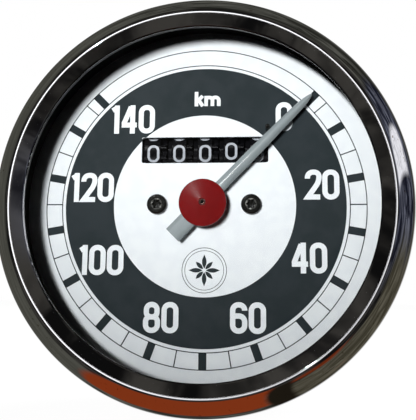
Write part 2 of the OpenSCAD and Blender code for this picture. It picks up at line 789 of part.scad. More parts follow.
// Fixed pin with riveted ends
module riveted_pin(r, y) {
    from = left_plate_x - side_plate_t;
    to = right_plate_x + side_plate_t;
    translate([from - 0.5, y, drum_z]) along_x() {
        cylinder(r = r, h = to - from + 1);
        cylinder(r = r + 0.5, h = 0.5);
        translate([0, 0, to - from + 0.5]) cylinder(r = r + 0.5, h = 0.5);
    }
}

module counter_axle() {
    color("silver") facing() riveted_pin(axle_r, counter_y);
}

module pinion_axle() {
    color("silver") facing() riveted_pin(pinion_axle_r, pinion_y);
}

function wheel_x(i) = (i - (wheels + 1) / 2) * wheel_pitch;

// Number wheel: 20-tooth gear on its right, rim for the figures, and on its left the locking disc
// with the two carry teeth that move the transfer pinion; the first wheel drives nothing
module number_wheel(i) {
    half = wheel_w / 2;
    rim_from = -half + lock_w;
    rim_to = half - carry_w;
    carries = i > 1;
    color("black") facing() translate([wheel_x(i), counter_y, drum_z]) along_x() difference() {
        union() {
            translate([0, 0, carries ? rim_from : -half])
                cylinder(r = wheel_r, h = rim_to - (carries ? rim_from : -half));
            if (i < wheels)
                rotate([0, 0, 90 + 180 / carry_teeth]) translate([0, 0, rim_to])
                    linear_extrude(carry_w) polygon(gear_outline(carry_teeth, carry_r - 0.75,
                        carry_r + 0.55, 1.15, 0.5));
            else
                translate([0, 0, rim_to]) cylinder(r = wheel_r, h = carry_w);
            if (carries) {
                translate([0, 0, -half]) cylinder(r = lock_r, h = lock_w);
                rotate([0, 0, -90]) intersection() {
                    translate([0, 0, -half]) rotate([0, 0, 180 / carry_teeth]) linear_extrude(lock_w)
                        polygon(gear_outline(carry_teeth, lock_r - 0.1, carry_tip_r, 1, 0.55));
                    translate([lock_r - 1, -1.8, -half]) cube([3, 3.6, lock_w]);
                }
            }
        }
        cylinder(r = axle_r + running_gap, h = wheel_w + 2, center = true);
    }
}

// Transfer pinion: eight teeth beside the left wheel's gear, four of them wide enough to reach the
// right wheel's carry teeth
module transfer_pinion(i) {
    from = wheel_x(i) + wheel_w / 2 - carry_w + 0.1;
    narrow = carry_w - 0.1;
    to = wheel_x(i + 1) - wheel_w / 2 + lock_w - 0.1;
    root_r = pinion_pitch_r - 0.75;
    color("ivory") facing() translate([from, pinion_y, drum_z]) along_x() difference() {
        union() {
            cylinder(r = root_r, h = to - from);
            rotate([0, 0, -90]) {
                linear_extrude(narrow) polygon(gear_outline(pinion_teeth, root_r, pinion_tip_r, 1, 0.5));
                linear_extrude(to - from)
                    polygon(gear_outline(pinion_teeth / 2, root_r, pinion_tip_r, 1, 0.5));
            }
        }
        translate([0, 0, -1]) cylinder(r = pinion_axle_r + running_gap, h = to - from + 2);
    }
}

// Worm gear fixed beside the last number wheel
module counter_gear() {
    from = group_half + seat_gap;
    to = right_plate_x - end_play;
    color("ivory") facing() translate([0, counter_y, drum_z]) difference() {
        union() {
            translate([from, 0, 0]) along_x() cylinder(r = wheel_hub_r + 0.2, h = to - from);
            translate([gear_x, 0, 0]) along_x() rotate([0, 0, -90 + 180 / counter_gear_teeth])
                worm_wheel_teeth(counter_gear_teeth, counter_gear_r, counter_gear_w);
        }
        translate([from - 1, 0, 0]) along_x() cylinder(r = axle_r + running_gap, h = to - from + 2);
    }
}

module number_wheel_1() number_wheel(1);
module number_wheel_2() number_wheel(2);
module number_wheel_3() number_wheel(3);
module number_wheel_4() number_wheel(4);
module number_wheel_5() number_wheel(5);
module transfer_pinion_1() transfer_pinion(1);
module transfer_pinion_2() transfer_pinion(2);
module transfer_pinion_3() transfer_pinion(3);
module transfer_pinion_4() transfer_pinion(4);

/* Case and what is fixed to its back */

// Drawn can with a rounded corner, a step that carries the rubber ring, and a flat rim
module case() {
    // The wall widens at 45 degrees; bend is how much higher its inside turns than its outside
    bend = case_t * tan(22.5);
    inner_r = case_r - case_t;
    color("dimgray") facing() difference() {
        rotate_extrude($fn = 128) polygon(concat(
            [[0, 0]],
            arc([case_r - corner_r, corner_r], corner_r, -90, 0, 8),
            [[case_r, step_z], [step_r, step_z + step_w], [step_r, rim_z], [rim_r, rim_z],
                [rim_r, rim_z + rim_t], [step_r - case_t, rim_z + rim_t],
                [step_r - case_t, step_z + step_w + bend], [inner_r, step_z + bend]],
            arc([case_r - corner_r, floor_t + corner_r - case_t], corner_r - case_t, 0, -90, 8),
            [[0, floor_t]]));
        translate([0, 0, -1]) {
            cylinder(r = spigot_r - 1 + seat_gap, h = floor_t + 2);
            for (side = [-1, 1])
                translate([0, side * stud_at, 0]) cylinder(r = stud_neck_r + seat_gap, h = floor_t + 2);
            for (a = case_screw_angles)
                clock(a, case_screw_at) cylinder(r = case_screw_r + 0.15, h = floor_t + 2);
            clock(lamp_angle, lamp_at) cylinder(r = lamp_r + seat_gap, h = floor_t + 2);
        }
    }
}

// Two screws through the floor into the rear plate
module case_screws() {
    color("silver") facing() for (a = case_screw_angles)
        clock(a, case_screw_at) mirror([0, 0, 1])
            screw(case_screw_head_r, case_screw_head_t, case_screw_r, rear_plate_z);
}

// Two threaded studs pressed into the floor by their necks, with flat heads inside
module rear_studs() {
    head_r = stud_neck_r + 0.9;
    head_t = 1.2;
    chamfer = 0.6;
    color("silver") facing() for (side = [-1, 1]) translate([0, side * stud_at, 0])
        rotate_extrude() polygon([[0, -stud_l], [stud_r - chamfer, -stud_l], [stud_r, chamfer - stud_l],
            [stud_r, 0], [stud_neck_r, 0], [stud_neck_r, floor_t], [head_r, floor_t],
            [head_r, floor_t + head_t], [0, floor_t + head_t]]);
}

spigot_flange_t = 2;

// Turned piece with a flange behind the case; the cable's nut screws onto its threaded part
module cable_spigot() {
    end_z = -spigot_flange_t - spigot_l;
    bore_r = journal_r + bush_w + seat_gap;
    outer = [[bore_r, end_z], [spigot_r - 0.6, end_z], [spigot_r, end_z + 0.6],
        [spigot_r, -spigot_flange_t], [spigot_r + 3, -spigot_flange_t], [spigot_r + 3, 0],
        [spigot_r - 1, 0], [spigot_r - 1, rear_plate_z], [bore_r, rear_plate_z]];
    color("silver") facing() rotate_extrude() polygon(outer);
}

// Rubber ring between the bezel and the panel
module seat_ring() {
    color("black") facing() ring(seat_z, seat_t, bezel_r - 0.7, seat_bore_r);
}

lamp_back_l = 5;

// Push-in holder with a flange outside and a barrel inside the case
module lamp_holder() {
    depth = 8;
    flange_t = 1.5;
    color("black") facing() clock(lamp_angle, lamp_at) difference() {
        union() {
            translate([0, 0, -flange_t]) cylinder(r = lamp_r + 1.5, h = flange_t);
            translate([0, 0, -lamp_back_l]) cylinder(r = lamp_r - 0.6, h = lamp_back_l - 1);
            cylinder(r = lamp_r, h = depth);
        }
        translate([0, 0, floor_t]) cylinder(r = lamp_r - 1, h = depth);
    }
}

// Small bulb: base in the holder and a glass dome
module lamp_bulb() {
    base_r = lamp_r - 1 - seat_gap;
    glass_low = 6;
    bulb_r = base_r - 0.3;
    color("gold") facing() clock(lamp_angle, lamp_at) {
        translate([0, 0, floor_t]) cylinder(r = base_r, h = glass_low);
        translate([0, 0, floor_t + glass_low]) rotate_extrude()
            polygon(concat([[0, 0], [bulb_r, 0]], arc([0, 5], bulb_r, 0, 90, 8)));
    }
}

// Flat blade contact behind the lamp holder
module lamp_contact() {
    blade_w = 4.8;
    blade_t = 0.8;
    blade_l = 6;
    color("goldenrod") facing() clock(lamp_angle, lamp_at)
        translate([-blade_w / 2, -blade_t / 2, -lamp_back_l - blade_l]) cube([blade_w, blade_t, blade_l]);
}

bezel();
lens_glass();
lens_gasket();
glare_ring();
dial_plate();
dial_screws();
stop_pin();
pointer();
pointer_cap();
pointer_spindle();
speed_cup();
hairspring_collet();
hairspring();
hairspring_stud();
spindle_bush();
dial_posts();
front_plate();
plate_screws();
pillars();
rear_plate();
rotating_magnet();
field_cup();
input_shaft();
thrust_washer();
shaft_bush();
shaft_circlip();
cross_shaft();
cross_wheel();
lay_shaft();
lay_wheel();
counter_left_plate();
counter_right_plate();
counter_screws();
counter_axle();
pinion_axle();
number_wheel_1();
number_wheel_2();
number_wheel_3();
number_wheel_4();
number_wheel_5();
counter_gear();
transfer_pinion_1();
transfer_pinion_2();
transfer_pinion_3();
transfer_pinion_4();
case();
case_screws();
rear_studs();
cable_spigot();
seat_ring();
lamp_holder();
lamp_bulb();
lamp_contact();
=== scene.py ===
# An 80 mm class motorcycle speedometer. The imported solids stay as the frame; finished pieces are
# worked out around them in the order in which the instrument is put together, from the case
# forwards to the bezel. Sizes are in millimetres: x to the right and y up on the dial, and z along
# the dial axis from the outer face of the case back. A piece stands at (x, -z, y) in the row frame.
import json
import math

import bmesh
import bpy
import numpy as np
from mathutils import Matrix, Vector


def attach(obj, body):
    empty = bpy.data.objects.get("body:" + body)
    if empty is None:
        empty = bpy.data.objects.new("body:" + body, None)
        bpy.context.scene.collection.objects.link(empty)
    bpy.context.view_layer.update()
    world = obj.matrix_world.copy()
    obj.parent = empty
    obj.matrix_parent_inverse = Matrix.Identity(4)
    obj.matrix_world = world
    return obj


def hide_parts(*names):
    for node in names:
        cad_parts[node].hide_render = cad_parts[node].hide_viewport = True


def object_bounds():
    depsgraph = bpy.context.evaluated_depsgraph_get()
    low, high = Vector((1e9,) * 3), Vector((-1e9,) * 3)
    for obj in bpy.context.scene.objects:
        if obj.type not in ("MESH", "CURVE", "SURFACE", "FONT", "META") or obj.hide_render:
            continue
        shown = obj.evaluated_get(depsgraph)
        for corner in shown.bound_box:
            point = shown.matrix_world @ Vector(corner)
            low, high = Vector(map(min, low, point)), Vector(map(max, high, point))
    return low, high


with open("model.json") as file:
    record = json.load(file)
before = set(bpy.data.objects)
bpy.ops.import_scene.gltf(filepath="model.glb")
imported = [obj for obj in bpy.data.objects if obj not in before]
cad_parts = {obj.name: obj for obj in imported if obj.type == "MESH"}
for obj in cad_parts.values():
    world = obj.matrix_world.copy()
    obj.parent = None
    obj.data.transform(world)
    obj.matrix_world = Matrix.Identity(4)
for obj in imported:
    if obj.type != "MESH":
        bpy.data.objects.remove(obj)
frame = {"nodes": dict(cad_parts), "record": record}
solid_box = [list(corner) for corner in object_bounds()]

# Viewpoint
# The photograph was taken 139 mm in front of the dial, a little low and to the right of its axis.
# Its crop puts the middle of the picture off the lens's own, which the shift repeats.
eye = Vector((0.013289, -0.177263, -0.017648))
eye_right = Vector((0.99606, 0.08813, 0.01007))
eye_up = Vector((0.00525, -0.17193, 0.98509))
lens = bpy.data.cameras.new("viewpoint")
lens.lens = 62.63
lens.sensor_width = 36
lens.shift_y = -0.0952
lens.clip_start = 0.005
camera = bpy.data.objects.new("viewpoint", lens)
turn = Matrix((eye_right, eye_up, eye_right.cross(eye_up))).transposed().to_4x4()
camera.matrix_world = Matrix.Translation(eye) @ turn
bpy.context.scene.collection.objects.link(camera)
bpy.context.scene.camera = camera
bpy.context.scene.view_settings.view_transform = "Standard"


# Studio
# A pale floor under the bezel and three small lamps in a slanting row in front of the dial; one high
# on the left is only mirrored, one stands behind. The backdrop is white, and metal sees a dark room too.
class Number:
    """A number in a node tree. Arithmetic on it adds Math nodes, so a formula reads as written."""

    def __init__(self, shader, socket):
        self.shader, self.socket = shader, socket

    def math(self, operation, *terms):
        """One Math node with the given operation on the given terms."""
        node = self.shader.node("ShaderNodeMath", {"operation": operation}, dict(enumerate(terms)))
        return Number(self.shader, node.outputs[0])

    def __add__(self, other):
        return self.math("ADD", self, other)

    def __sub__(self, other):
        return self.math("SUBTRACT", self, other)

    def __rsub__(self, other):
        return self.math("SUBTRACT", other, self)

    def __mul__(self, other):
        return self.math("MULTIPLY", self, other)

    def __truediv__(self, other):
        return self.math("DIVIDE", self, other)

    def __pow__(self, other):
        return self.math("POWER", self, other)

    def __neg__(self):
        return self * -1

    def larger(self, other):
        """The larger of the two numbers."""
        return self.math("MAXIMUM", self, other)

    def rise(self, low, high):
        """0 below low, 1 above high and a smooth step between; it falls if low is above high."""
        limits = {0: self, 1: low, 2: high}
        node = self.shader.node("ShaderNodeMapRange", {"interpolation_type": "SMOOTHSTEP"}, limits)
        return Number(self.shader, node.outputs[0])

    __radd__ = __add__
    __rmul__ = __mul__


class Shader:
    """A node tree that is being written."""

    def __init__(self, tree):
        self.tree = tree
        tree.nodes.clear()

    def node(self, kind, settings=None, sockets=None):
        """Adds a node: its settings are set first, then its sockets get their values or links."""
        node = self.tree.nodes.new(kind)
        for key, value in (settings or {}).items():
            setattr(node, key, value)
        for key, value in (sockets or {}).items():
            value = getattr(value, "socket", value)
            if isinstance(value, bpy.types.NodeSocket):
                self.tree.links.new(value, node.inputs[key])
            else:
                node.inputs[key].default_value = value
        return node

    def place(self, output="Object"):
        """A place on the piece or, for the world, a direction."""
        return self.node("ShaderNodeTexCoord").outputs[output]

    def parts(self, vector):
        """The x, y and z of a vector as numbers."""
        node = self.node("ShaderNodeSeparateXYZ", None, {0: vector})
        return [Number(self, socket) for socket in node.outputs]

    def noise(self, scale, detail=3.0, place=None, distortion=0.0):
        """Cloudy noise from about 0.3 to 0.7 with scale waves to the metre."""
        place = place or self.place()
        sockets = {"Vector": place, "Scale": scale, "Detail": detail, "Distortion": distortion}
        return Number(self, self.node("ShaderNodeTexNoise", None, sockets).outputs[0])

    def mixed(self, share, first, second):
        """The first colour where share is 0 and the second where it is 1."""
        colours = [value if not isinstance(value, tuple) else (*value, 1.0) for value in (first, second)]
        sockets = {0: share, 6: colours[0], 7: colours[1]}
        return self.node("ShaderNodeMix", {"data_type": "RGBA"}, sockets).outputs[2]

    def light_path(self, kind):
        """1 for rays of the given kind and 0 for others."""
        return Number(self, self.node("ShaderNodeLightPath").outputs[kind])


def blank(name):
    """A new material and the shader that writes its nodes."""
    material = bpy.data.materials.new(name)
    material.use_nodes = True
    return material, Shader(material.node_tree)


def seen_share(shader):
    """1 for rays from the camera, a mirror or a window, and 0 for those that carry light."""
    kinds = ("Is Camera Ray", "Is Glossy Ray", "Is Transmission Ray")
    seen = [shader.light_path(kind) for kind in kinds]
    return seen[0].larger(seen[1]).larger(seen[2])


world = bpy.data.worlds.new("studio")
world.use_nodes = True
bpy.context.scene.world = world
sky = Shader(world.node_tree)
# Direction of view: across is to the right, ahead is away from the camera's side, and height is up
heading = sky.place("Generated")
across, ahead, height = sky.parts(heading)
# A cluttered dark room: browner towards the lower right, even on the left, darkest behind the camera
clutter = sky.noise(3.4, 5.0, heading, 1.2).rise(0.38, 0.66)
shelves = sky.noise(6.0, 4.0, heading, 1.0).rise(0.42, 0.66)
room = sky.mixed(clutter, (0.022, 0.022, 0.018), (0.11, 0.11, 0.095))
brown_side = across.rise(0.1, 0.4) * (-height).rise(-0.1, 0.2)
room = sky.mixed(brown_side, room, sky.mixed(clutter, (0.05, 0.045, 0.03), (0.125, 0.115, 0.085)))
room = sky.mixed(across.rise(-0.3, -0.6) * 0.7, room, (0.085, 0.085, 0.07))
far_end = sky.mixed(shelves, (0.005, 0.005, 0.005), (0.050, 0.047, 0.042))
room = sky.mixed((-ahead).rise(0.5, 0.7), room, far_end)
# An orange-brown bench below, with a dark gap across it between two slanting edges
below = (-height).rise(0.42, 0.52)
left_edge, right_edge = across + height * 0.28, across + height * 0.46
bench = below * (across * 1.02 - height).rise(0.0, 0.12) * ahead.rise(0.62, 0.45)
left_of_gap = left_edge.rise(0.03, -0.02)
right_of_gap = (-height).rise(0.68, 0.62) * right_edge.rise(-0.02, 0.03) * across.rise(0.62, 0.5)
gap = below * left_edge.rise(-0.02, 0.03) * right_edge.rise(0.03, -0.02)
room = sky.mixed(gap, room, (0.014, 0.011, 0.007))
room = sky.mixed(bench * left_of_gap.larger(right_of_gap * 0.6), room, (0.25, 0.040, 0.010))
# Shelves in bluish light on the right, and a window above them
blue_side = across.rise(0.3, 0.5) * (height + 0.25).rise(0.0, 0.3) * (across * 1.1 - height).rise(0.0, 0.15)
blue_shelves = sky.mixed(shelves, (0.010, 0.011, 0.020), (0.16, 0.17, 0.22))
room = sky.mixed(blue_side * ahead.rise(0.75, 0.5), room, blue_shelves)
panes = sky.noise(9.0, 4.0, heading, 2.0).rise(0.30, 0.48)
daylight = (height - across * 0.24).rise(0.0, 0.05) * (across * 0.60 - height).rise(0.0, 0.06)
daylight = daylight * across.rise(0.45, 0.6) * ahead.rise(0.45, 0.25) * panes
room = sky.mixed(daylight, room, (1.0, 1.0, 1.05))
# A lit ring of ceiling round the camera. With t for the cosine of the bearing against the upper left,
# the glass mirrors what lies up to about 13.5 + 9.3 t degrees from the dial's axis, and the bezel's
# lip what lies near 25 + 9.3 t + 1.8 t^2. The ring lies between the two, so only the crest shows it.
off_axis = (across**2 + height**2) ** 0.5
upper_left = (height * 0.766 - across * 0.643) / off_axis
degrees_off = (-ahead).math("ARCCOSINE", -ahead) * 57.3
inward = degrees_off - upper_left * 9.1 - upper_left**2 * 2.4
lit_ring = inward.rise(13.2, 13.6) * inward.rise(21.0, 20.6) * (upper_left * 0.3 + 0.75)
room = sky.mixed(lit_ring, room, (1.8, 1.8, 1.85))
room = sky.mixed(ahead.rise(0.8, 0.93), room, (1.0, 1.0, 1.0))
# Light for matt surfaces: little from the front, where the lamps stand, and more from behind
ambient = ahead.rise(-0.2, 0.4) * 0.3 + 0.004
level = seen_share(sky) * (1 - ambient) + ambient
sky_colour = sky.mixed(sky.light_path("Is Glossy Ray"), (1.0, 1.0, 1.0), room)
background = sky.node("ShaderNodeBackground", None, {"Color": sky_colour, "Strength": level})
sky.node("ShaderNodeOutputWorld", None, {"Surface": background.outputs[0]})
# The room is dim, so it isn't sampled like a lamp, which would only add noise
world.cycles.sampling_method = "NONE"


def lamp(name, place, aim, radius, watts, cone=None, mirrored=False):
    """A round soft lamp at a place, in metres, that faces aim. With a cone, in degrees, its light fades
    smoothly from the middle of the cone to its edge. A mirrored lamp gives nothing but highlights."""
    light = bpy.data.lights.new(name, "SPOT" if cone else "AREA")
    light.energy = watts
    if cone:
        light.spot_size, light.spot_blend, light.shadow_soft_size = math.radians(cone), 1.0, radius
    else:
        light.shape, light.size = "DISK", 2 * radius
    item = bpy.data.objects.new(name, light)
    item.location = place
    item.rotation_mode = "QUATERNION"
    item.rotation_quaternion = (Vector(aim) - item.location).to_track_quat("-Z", "Y")
    item.visible_glossy, item.visible_diffuse = mirrored, not mirrored
    bpy.context.scene.collection.objects.link(item)


dial_light = dict(aim=(0.002, -0.038, 0.039), radius=0.012, watts=1.82, cone=38)
for name, along in (("front_lamp_1", -0.0127), ("front_lamp_2", 0.0), ("front_lamp_3", 0.0127)):
    lamp(name, (-0.051 + along, -0.332, 0.022 - along), **dial_light)
lamp("high_lamp", (-0.215, -0.744, 0.308), aim=(0, -0.038, 0), radius=0.006, watts=1.6, mirrored=True)
lamp("rear_lamp", (0.5, 0.9, 0.6), aim=(0, 0, 0), radius=0.3, watts=12)

floor_mesh = bpy.data.meshes.new("floor")
floor_level = solid_box[0][2] - 0.0002
floor_half = 3.0
square = ((-1, -1), (1, -1), (1, 1), (-1, 1))
floor_corners = [(x * floor_half, y * floor_half, floor_level) for x, y in square]
floor_mesh.from_pydata(floor_corners, [], [(0, 1, 2, 3)])
floor = bpy.data.objects.new("floor", floor_mesh)
floor.visible_glossy = floor.visible_diffuse = False
bpy.context.scene.collection.objects.link(floor)
floor_material, pale = blank("pale_floor")
lit = pale.node("ShaderNodeBsdfDiffuse", None, {"Color": (0.9, 0.9, 0.9, 1.0)})
glow = pale.node("ShaderNodeEmission", None, {"Color": (1.0, 1.0, 1.0, 1.0), "Strength": 1.06})
floor_parts = {0: seen_share(pale) * 0.92, 1: lit.outputs[0], 2: glow.outputs[0]}
shown = pale.node("ShaderNodeMixShader", None, floor_parts)
pale.node("ShaderNodeOutputMaterial", None, {0: shown.outputs[0]})
floor_mesh.materials.append(floor_material)


# Case
# The can is deep-drawn from 0.8 mm steel: a rounded corner at the back, a step that carries the
# rubber ring and a flat rim that the bezel is rolled around. It is sprayed satin black.
def shell(grid, closed_rows=True):
    """Faces between neighbouring points of a grid, whose last column meets its first. The wedges from
    the origin to all the faces add up to the volume inside; where that sum is negative the faces are
    turned round."""
    index = np.arange(grid.shape[0] * grid.shape[1]).reshape(grid.shape[:2])
    if closed_rows:
        index = np.vstack([index, index[:1]])
    index = np.hstack([index, index[:, :1]])
    faces = np.stack([index[:-1, :-1], index[1:, :-1], index[1:, 1:], index[:-1, 1:]], -1).reshape(-1, 4)
    points = grid.reshape(-1, 3)
    a, b, c, d = (points[faces[:, k]] for k in range(4))
    wedges = np.einsum("ij,ij->", a, np.cross(b, c) + np.cross(c, d))
    return points, faces[:, ::-1] if wedges < 0 else faces


def piece(name, shells, material, body, replaces=(), sharp=32):
    """One object from a list of closed shells, placed in the row frame: (x, y, z) in mm goes to
    (x, -z, y) in metres. Points that coincide are joined, and edges turn sharp above the given angle."""
    starts = np.cumsum([0] + [len(points) for points, _ in shells])
    points = np.concatenate([points for points, _ in shells])
    faces = np.concatenate([faces + start for (_, faces), start in zip(shells, starts)])
    placed = np.stack([points[:, 0], -points[:, 2], points[:, 1]], -1) / 1000
    mesh = bpy.data.meshes.new(name)
    mesh.vertices.add(len(placed))
    mesh.vertices.foreach_set("co", placed.astype(np.float32).ravel())
    mesh.loops.add(faces.size)
    mesh.loops.foreach_set("vertex_index", faces.astype(np.int32).ravel())
    mesh.polygons.add(len(faces))
    mesh.polygons.foreach_set("loop_start", np.arange(0, faces.size, 4, dtype=np.int32))
    mesh.update(calc_edges=True)
    joined = bmesh.new()
    joined.from_mesh(mesh)
    bmesh.ops.remove_doubles(joined, verts=joined.verts, dist=2e-8)
    joined.to_mesh(mesh)
    joined.free()
    mesh.polygons.foreach_set("use_smooth", np.ones(len(mesh.polygons), bool))
    mesh.set_sharp_from_angle(angle=math.radians(sharp))
    mesh.materials.append(material)
    item = bpy.data.objects.new(name, mesh)
    bpy.context.scene.collection.objects.link(item)
    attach(item, body)
    if replaces:
        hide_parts(*replaces)


def softened(corners, cut, closed=True, steps=5):
    """An outline whose corners are rounded: each gives way to the quarter of an ellipse that leaves one
    side at the distance cut before the corner and meets the other at that distance after it. A point
    is added a little way along both sides, so that their smooth shading stays flat."""
    corners = np.asarray(corners, float)
    cut = np.broadcast_to(np.asarray(cut, float), len(corners)).copy()
    if not closed:
        cut[[0, -1]] = 0
    sides = [np.roll(corners, 1, 0) - corners, np.roll(corners, -1, 0) - corners]
    lengths = [np.linalg.norm(side, axis=1) for side in sides]
    for length, other in zip(lengths, (np.roll(cut, 1), np.roll(cut, -1))):
        cut = np.minimum(cut, length * np.where(other > 0, 0.48, 0.95))
    ends, flats = [], []
    for side, length, other in zip(sides, lengths, (np.roll(cut, 1), np.roll(cut, -1))):
        ahead = side / length[:, None]
        pad = np.where(cut > 0, np.minimum(0.08, 0.3 * (length - cut - other).clip(0)), 0)
        ends.append(corners + ahead * cut[:, None])
        flats.append(corners + ahead * (cut + pad)[:, None])
    t = np.linspace(0, np.pi / 2, steps)[None, :, None]
    before, after = ((end - corners)[:, None] for end in ends)
    curve = corners[:, None] + before * (1 - np.sin(t)) + after * (1 - np.cos(t))
    curve = np.concatenate([flats[0][:, None], curve, flats[1][:, None]], 1).reshape(-1, 2)
    step = np.linalg.norm(curve - np.roll(curve, 1, 0), axis=1)
    return curve[step > 1e-6]


def turned(profile, columns=192, form=None, centre=(0.0, 0.0)):
    """Surface of revolution: the profile's radius and height at every angle around an axis along z.
    Where the profile has a third value, that times form, one number per angle, is added to the radius."""
    profile = np.asarray(profile, float)
    angle = np.arange(columns) * 2 * np.pi / columns
    radius = np.repeat(profile[:, :1], columns, 1)
    if form is not None:
        radius = radius + profile[:, 2:] * form(angle)
    height = np.repeat(profile[:, 1:2], columns, 1)
    return np.stack([centre[0] + radius * np.cos(angle), centre[1] + radius * np.sin(angle), height], -1)


def finish(name, colour, other, roughness, spread, waves, grain, relief=0.0, metallic=0.0, specular=0.5):
    """A material whose colour drifts between two shades with the given waves to the metre. A fine
    grain shifts its roughness by spread either way and lifts the surface by relief, in metres."""
    material, shader = blank(name)
    drift = shader.noise(waves, 4.0).rise(0.36, 0.64)
    fine = shader.noise(grain, 2.0)
    sockets = {
        "Base Color": shader.mixed(drift, colour, other),
        "Roughness": (fine - 0.5) * (2 * spread) + roughness,
        "Metallic": metallic,
        "Specular IOR Level": specular,
    }
    if relief:
        bump = shader.node("ShaderNodeBump", None, {"Distance": relief, "Height": fine})
        sockets["Normal"] = bump.outputs[0]
    gloss = shader.node("ShaderNodeBsdfPrincipled", None, sockets)
    shader.node("ShaderNodeOutputMaterial", None, {0: gloss.outputs[0]})
    return material


case_r, case_wall, case_floor, step_r, rim_r = 35.4, 0.8, 1.0, 35.8, 38.0
step_z, rim_z, rim_top = 32.9, 35.6, 36.6
case_paint = finish(
    "case_paint", (0.022, 0.023, 0.024), (0.034, 0.034, 0.035),
    roughness=0.42, spread=0.07, waves=90, grain=2600, relief=3e-6, specular=0.3)
case_outline = softened(
    [(0, 0), (case_r, 0), (case_r, step_z), (step_r, step_z + 0.4), (step_r, rim_z), (rim_r, rim_z),
     (rim_r, rim_top), (step_r - case_wall, rim_top), (step_r - case_wall, step_z + 0.7),
     (case_r - case_wall, step_z + 0.3), (case_r - case_wall, case_floor), (0, case_floor)],
    [0, 4.0, 0.2, 0.2, 0.3, 0.2, 0.2, 0.2, 0.2, 0.2, 3.2, 0], steps=9)
piece("case_can", [shell(turned(case_outline))], case_paint, "case", ["case"])

# Seat ring
# A washer of moulded black rubber between the bezel and the panel. It is stretched over the step of
# the case and stays there by itself.
rubber = finish(
    "seat_rubber", (0.017, 0.017, 0.017), (0.028, 0.028, 0.027),
    roughness=0.62, spread=0.1, waves=300, grain=5200, relief=8e-6)
seat_in, seat_out, seat_back, seat_front = 35.9, 38.4, 32.8, 34.8
seat_outline = softened(
    [(seat_in, seat_back), (seat_out, seat_back), (seat_out, seat_front), (seat_in, seat_front)], 0.35)
piece("seat_washer", [shell(turned(seat_outline))], rubber, "case", ["seat_ring"])


# Cable spigot
# A turned steel piece, zinc plated: a flange against the case and an M12 thread of 1 mm pitch for
# the cable's nut. The brass bush of the input shaft sits in its bore.
def threaded(bore, radius, low, high, pitch, depth, centre=(0.0, 0.0), columns=72, per_turn=10):
    """Thread around a bore, from low to high: at each angle and height the radius drops by depth where
    the height, less the angle's share of the pitch, is halfway between two crests. The groove runs out
    smoothly at both ends, and a chamfer takes a little off the low one."""
    rows = int(round((high - low) / pitch * per_turn)) + 1
    angle = np.arange(columns) * 2 * np.pi / columns
    height = np.linspace(low, high, rows)[:, None]
    phase = height / pitch - angle / (2 * np.pi)
    groove = np.abs(2 * (phase - np.floor(phase)) - 1)
    groove = np.clip(1.5 * groove - 0.25, 0, 1)
    ends = np.clip(np.minimum(height - low, high - height) / (0.6 * pitch), 0, 1)
    chamfer = 0.55 * depth * np.clip(1 - (height - low) / (0.5 * pitch), 0, 1)
    radius = radius - depth * groove * ends - chamfer
    outside = np.stack([centre[0] + radius * np.cos(angle), centre[1] + radius * np.sin(angle),
                        np.broadcast_to(height, radius.shape)], -1)
    inside = turned([(bore, high), (bore, low)], columns, None, centre)
    return np.concatenate([outside, inside])


steel_bright = finish(
    "plated_steel", (0.62, 0.62, 0.6), (0.5, 0.5, 0.48),
    roughness=0.3, spread=0.1, waves=220, grain=3000, relief=1.5e-6, metallic=1.0)
spigot_bore, spigot_r, spigot_end, thread_start, thread_pitch, thread_depth = 3.52, 6.0, -14, -2.6, 1.0, 0.61
flange_r, flange_back, neck_r, neck_end = 9.0, -2.0, 5.0, 2.5
spigot_flange = softened(
    [(spigot_bore, thread_start), (spigot_r, thread_start), (spigot_r, flange_back), (flange_r, flange_back),
     (flange_r, 0), (neck_r, 0), (neck_r, neck_end), (spigot_bore, neck_end)],
    [0, 0, 0.1, 0.3, 0.1, 0, 0.2, 0.2])
spigot_thread = threaded(spigot_bore, spigot_r, spigot_end, thread_start, thread_pitch, thread_depth)
piece("spigot", [shell(spigot_thread), shell(turned(spigot_flange, 72))], steel_bright, "case",
      ["cable_spigot"])

# Rear studs
# Two M5 studs with 0.8 mm pitch, pressed into the case's floor by their necks; nuts hold the
# instrument to its bracket.
stud_r, stud_end, stud_start, stud_pitch, stud_groove, stud_apart = 2.5, -14.0, -0.1, 0.8, 0.45, 48.0
stud_neck_r, stud_head_r, stud_head_end = 3.0, 3.9, 2.2
stud_neck = softened(
    [(0, stud_start), (stud_r, stud_start), (stud_r, 0), (stud_neck_r, 0), (stud_neck_r, case_floor),
     (stud_head_r, case_floor), (stud_head_r, stud_head_end), (0, stud_head_end)],
    [0, 0, 0, 0.1, 0, 0.1, 0.2, 0])
studs = []
for side in (-1, 1):
    stud_place = (0.0, side * stud_apart / 2)
    stud_thread = threaded(0.0, stud_r, stud_end, stud_start, stud_pitch, stud_groove, stud_place, 48)
    studs += [shell(stud_thread), shell(turned(stud_neck, 48, None, stud_place))]
piece("bracket_studs", studs, steel_bright, "case", ["rear_studs"])


# Case screws
# Two zinc-plated steel screws with pan heads and cross recesses. They go through the case's floor
# into the rear plate of the works.
def clock(angle, distance):
    """A place on the dial by clock angle, in degrees, and distance from the axis."""
    turn = math.radians(angle)
    return distance * math.sin(turn), distance * math.cos(turn)


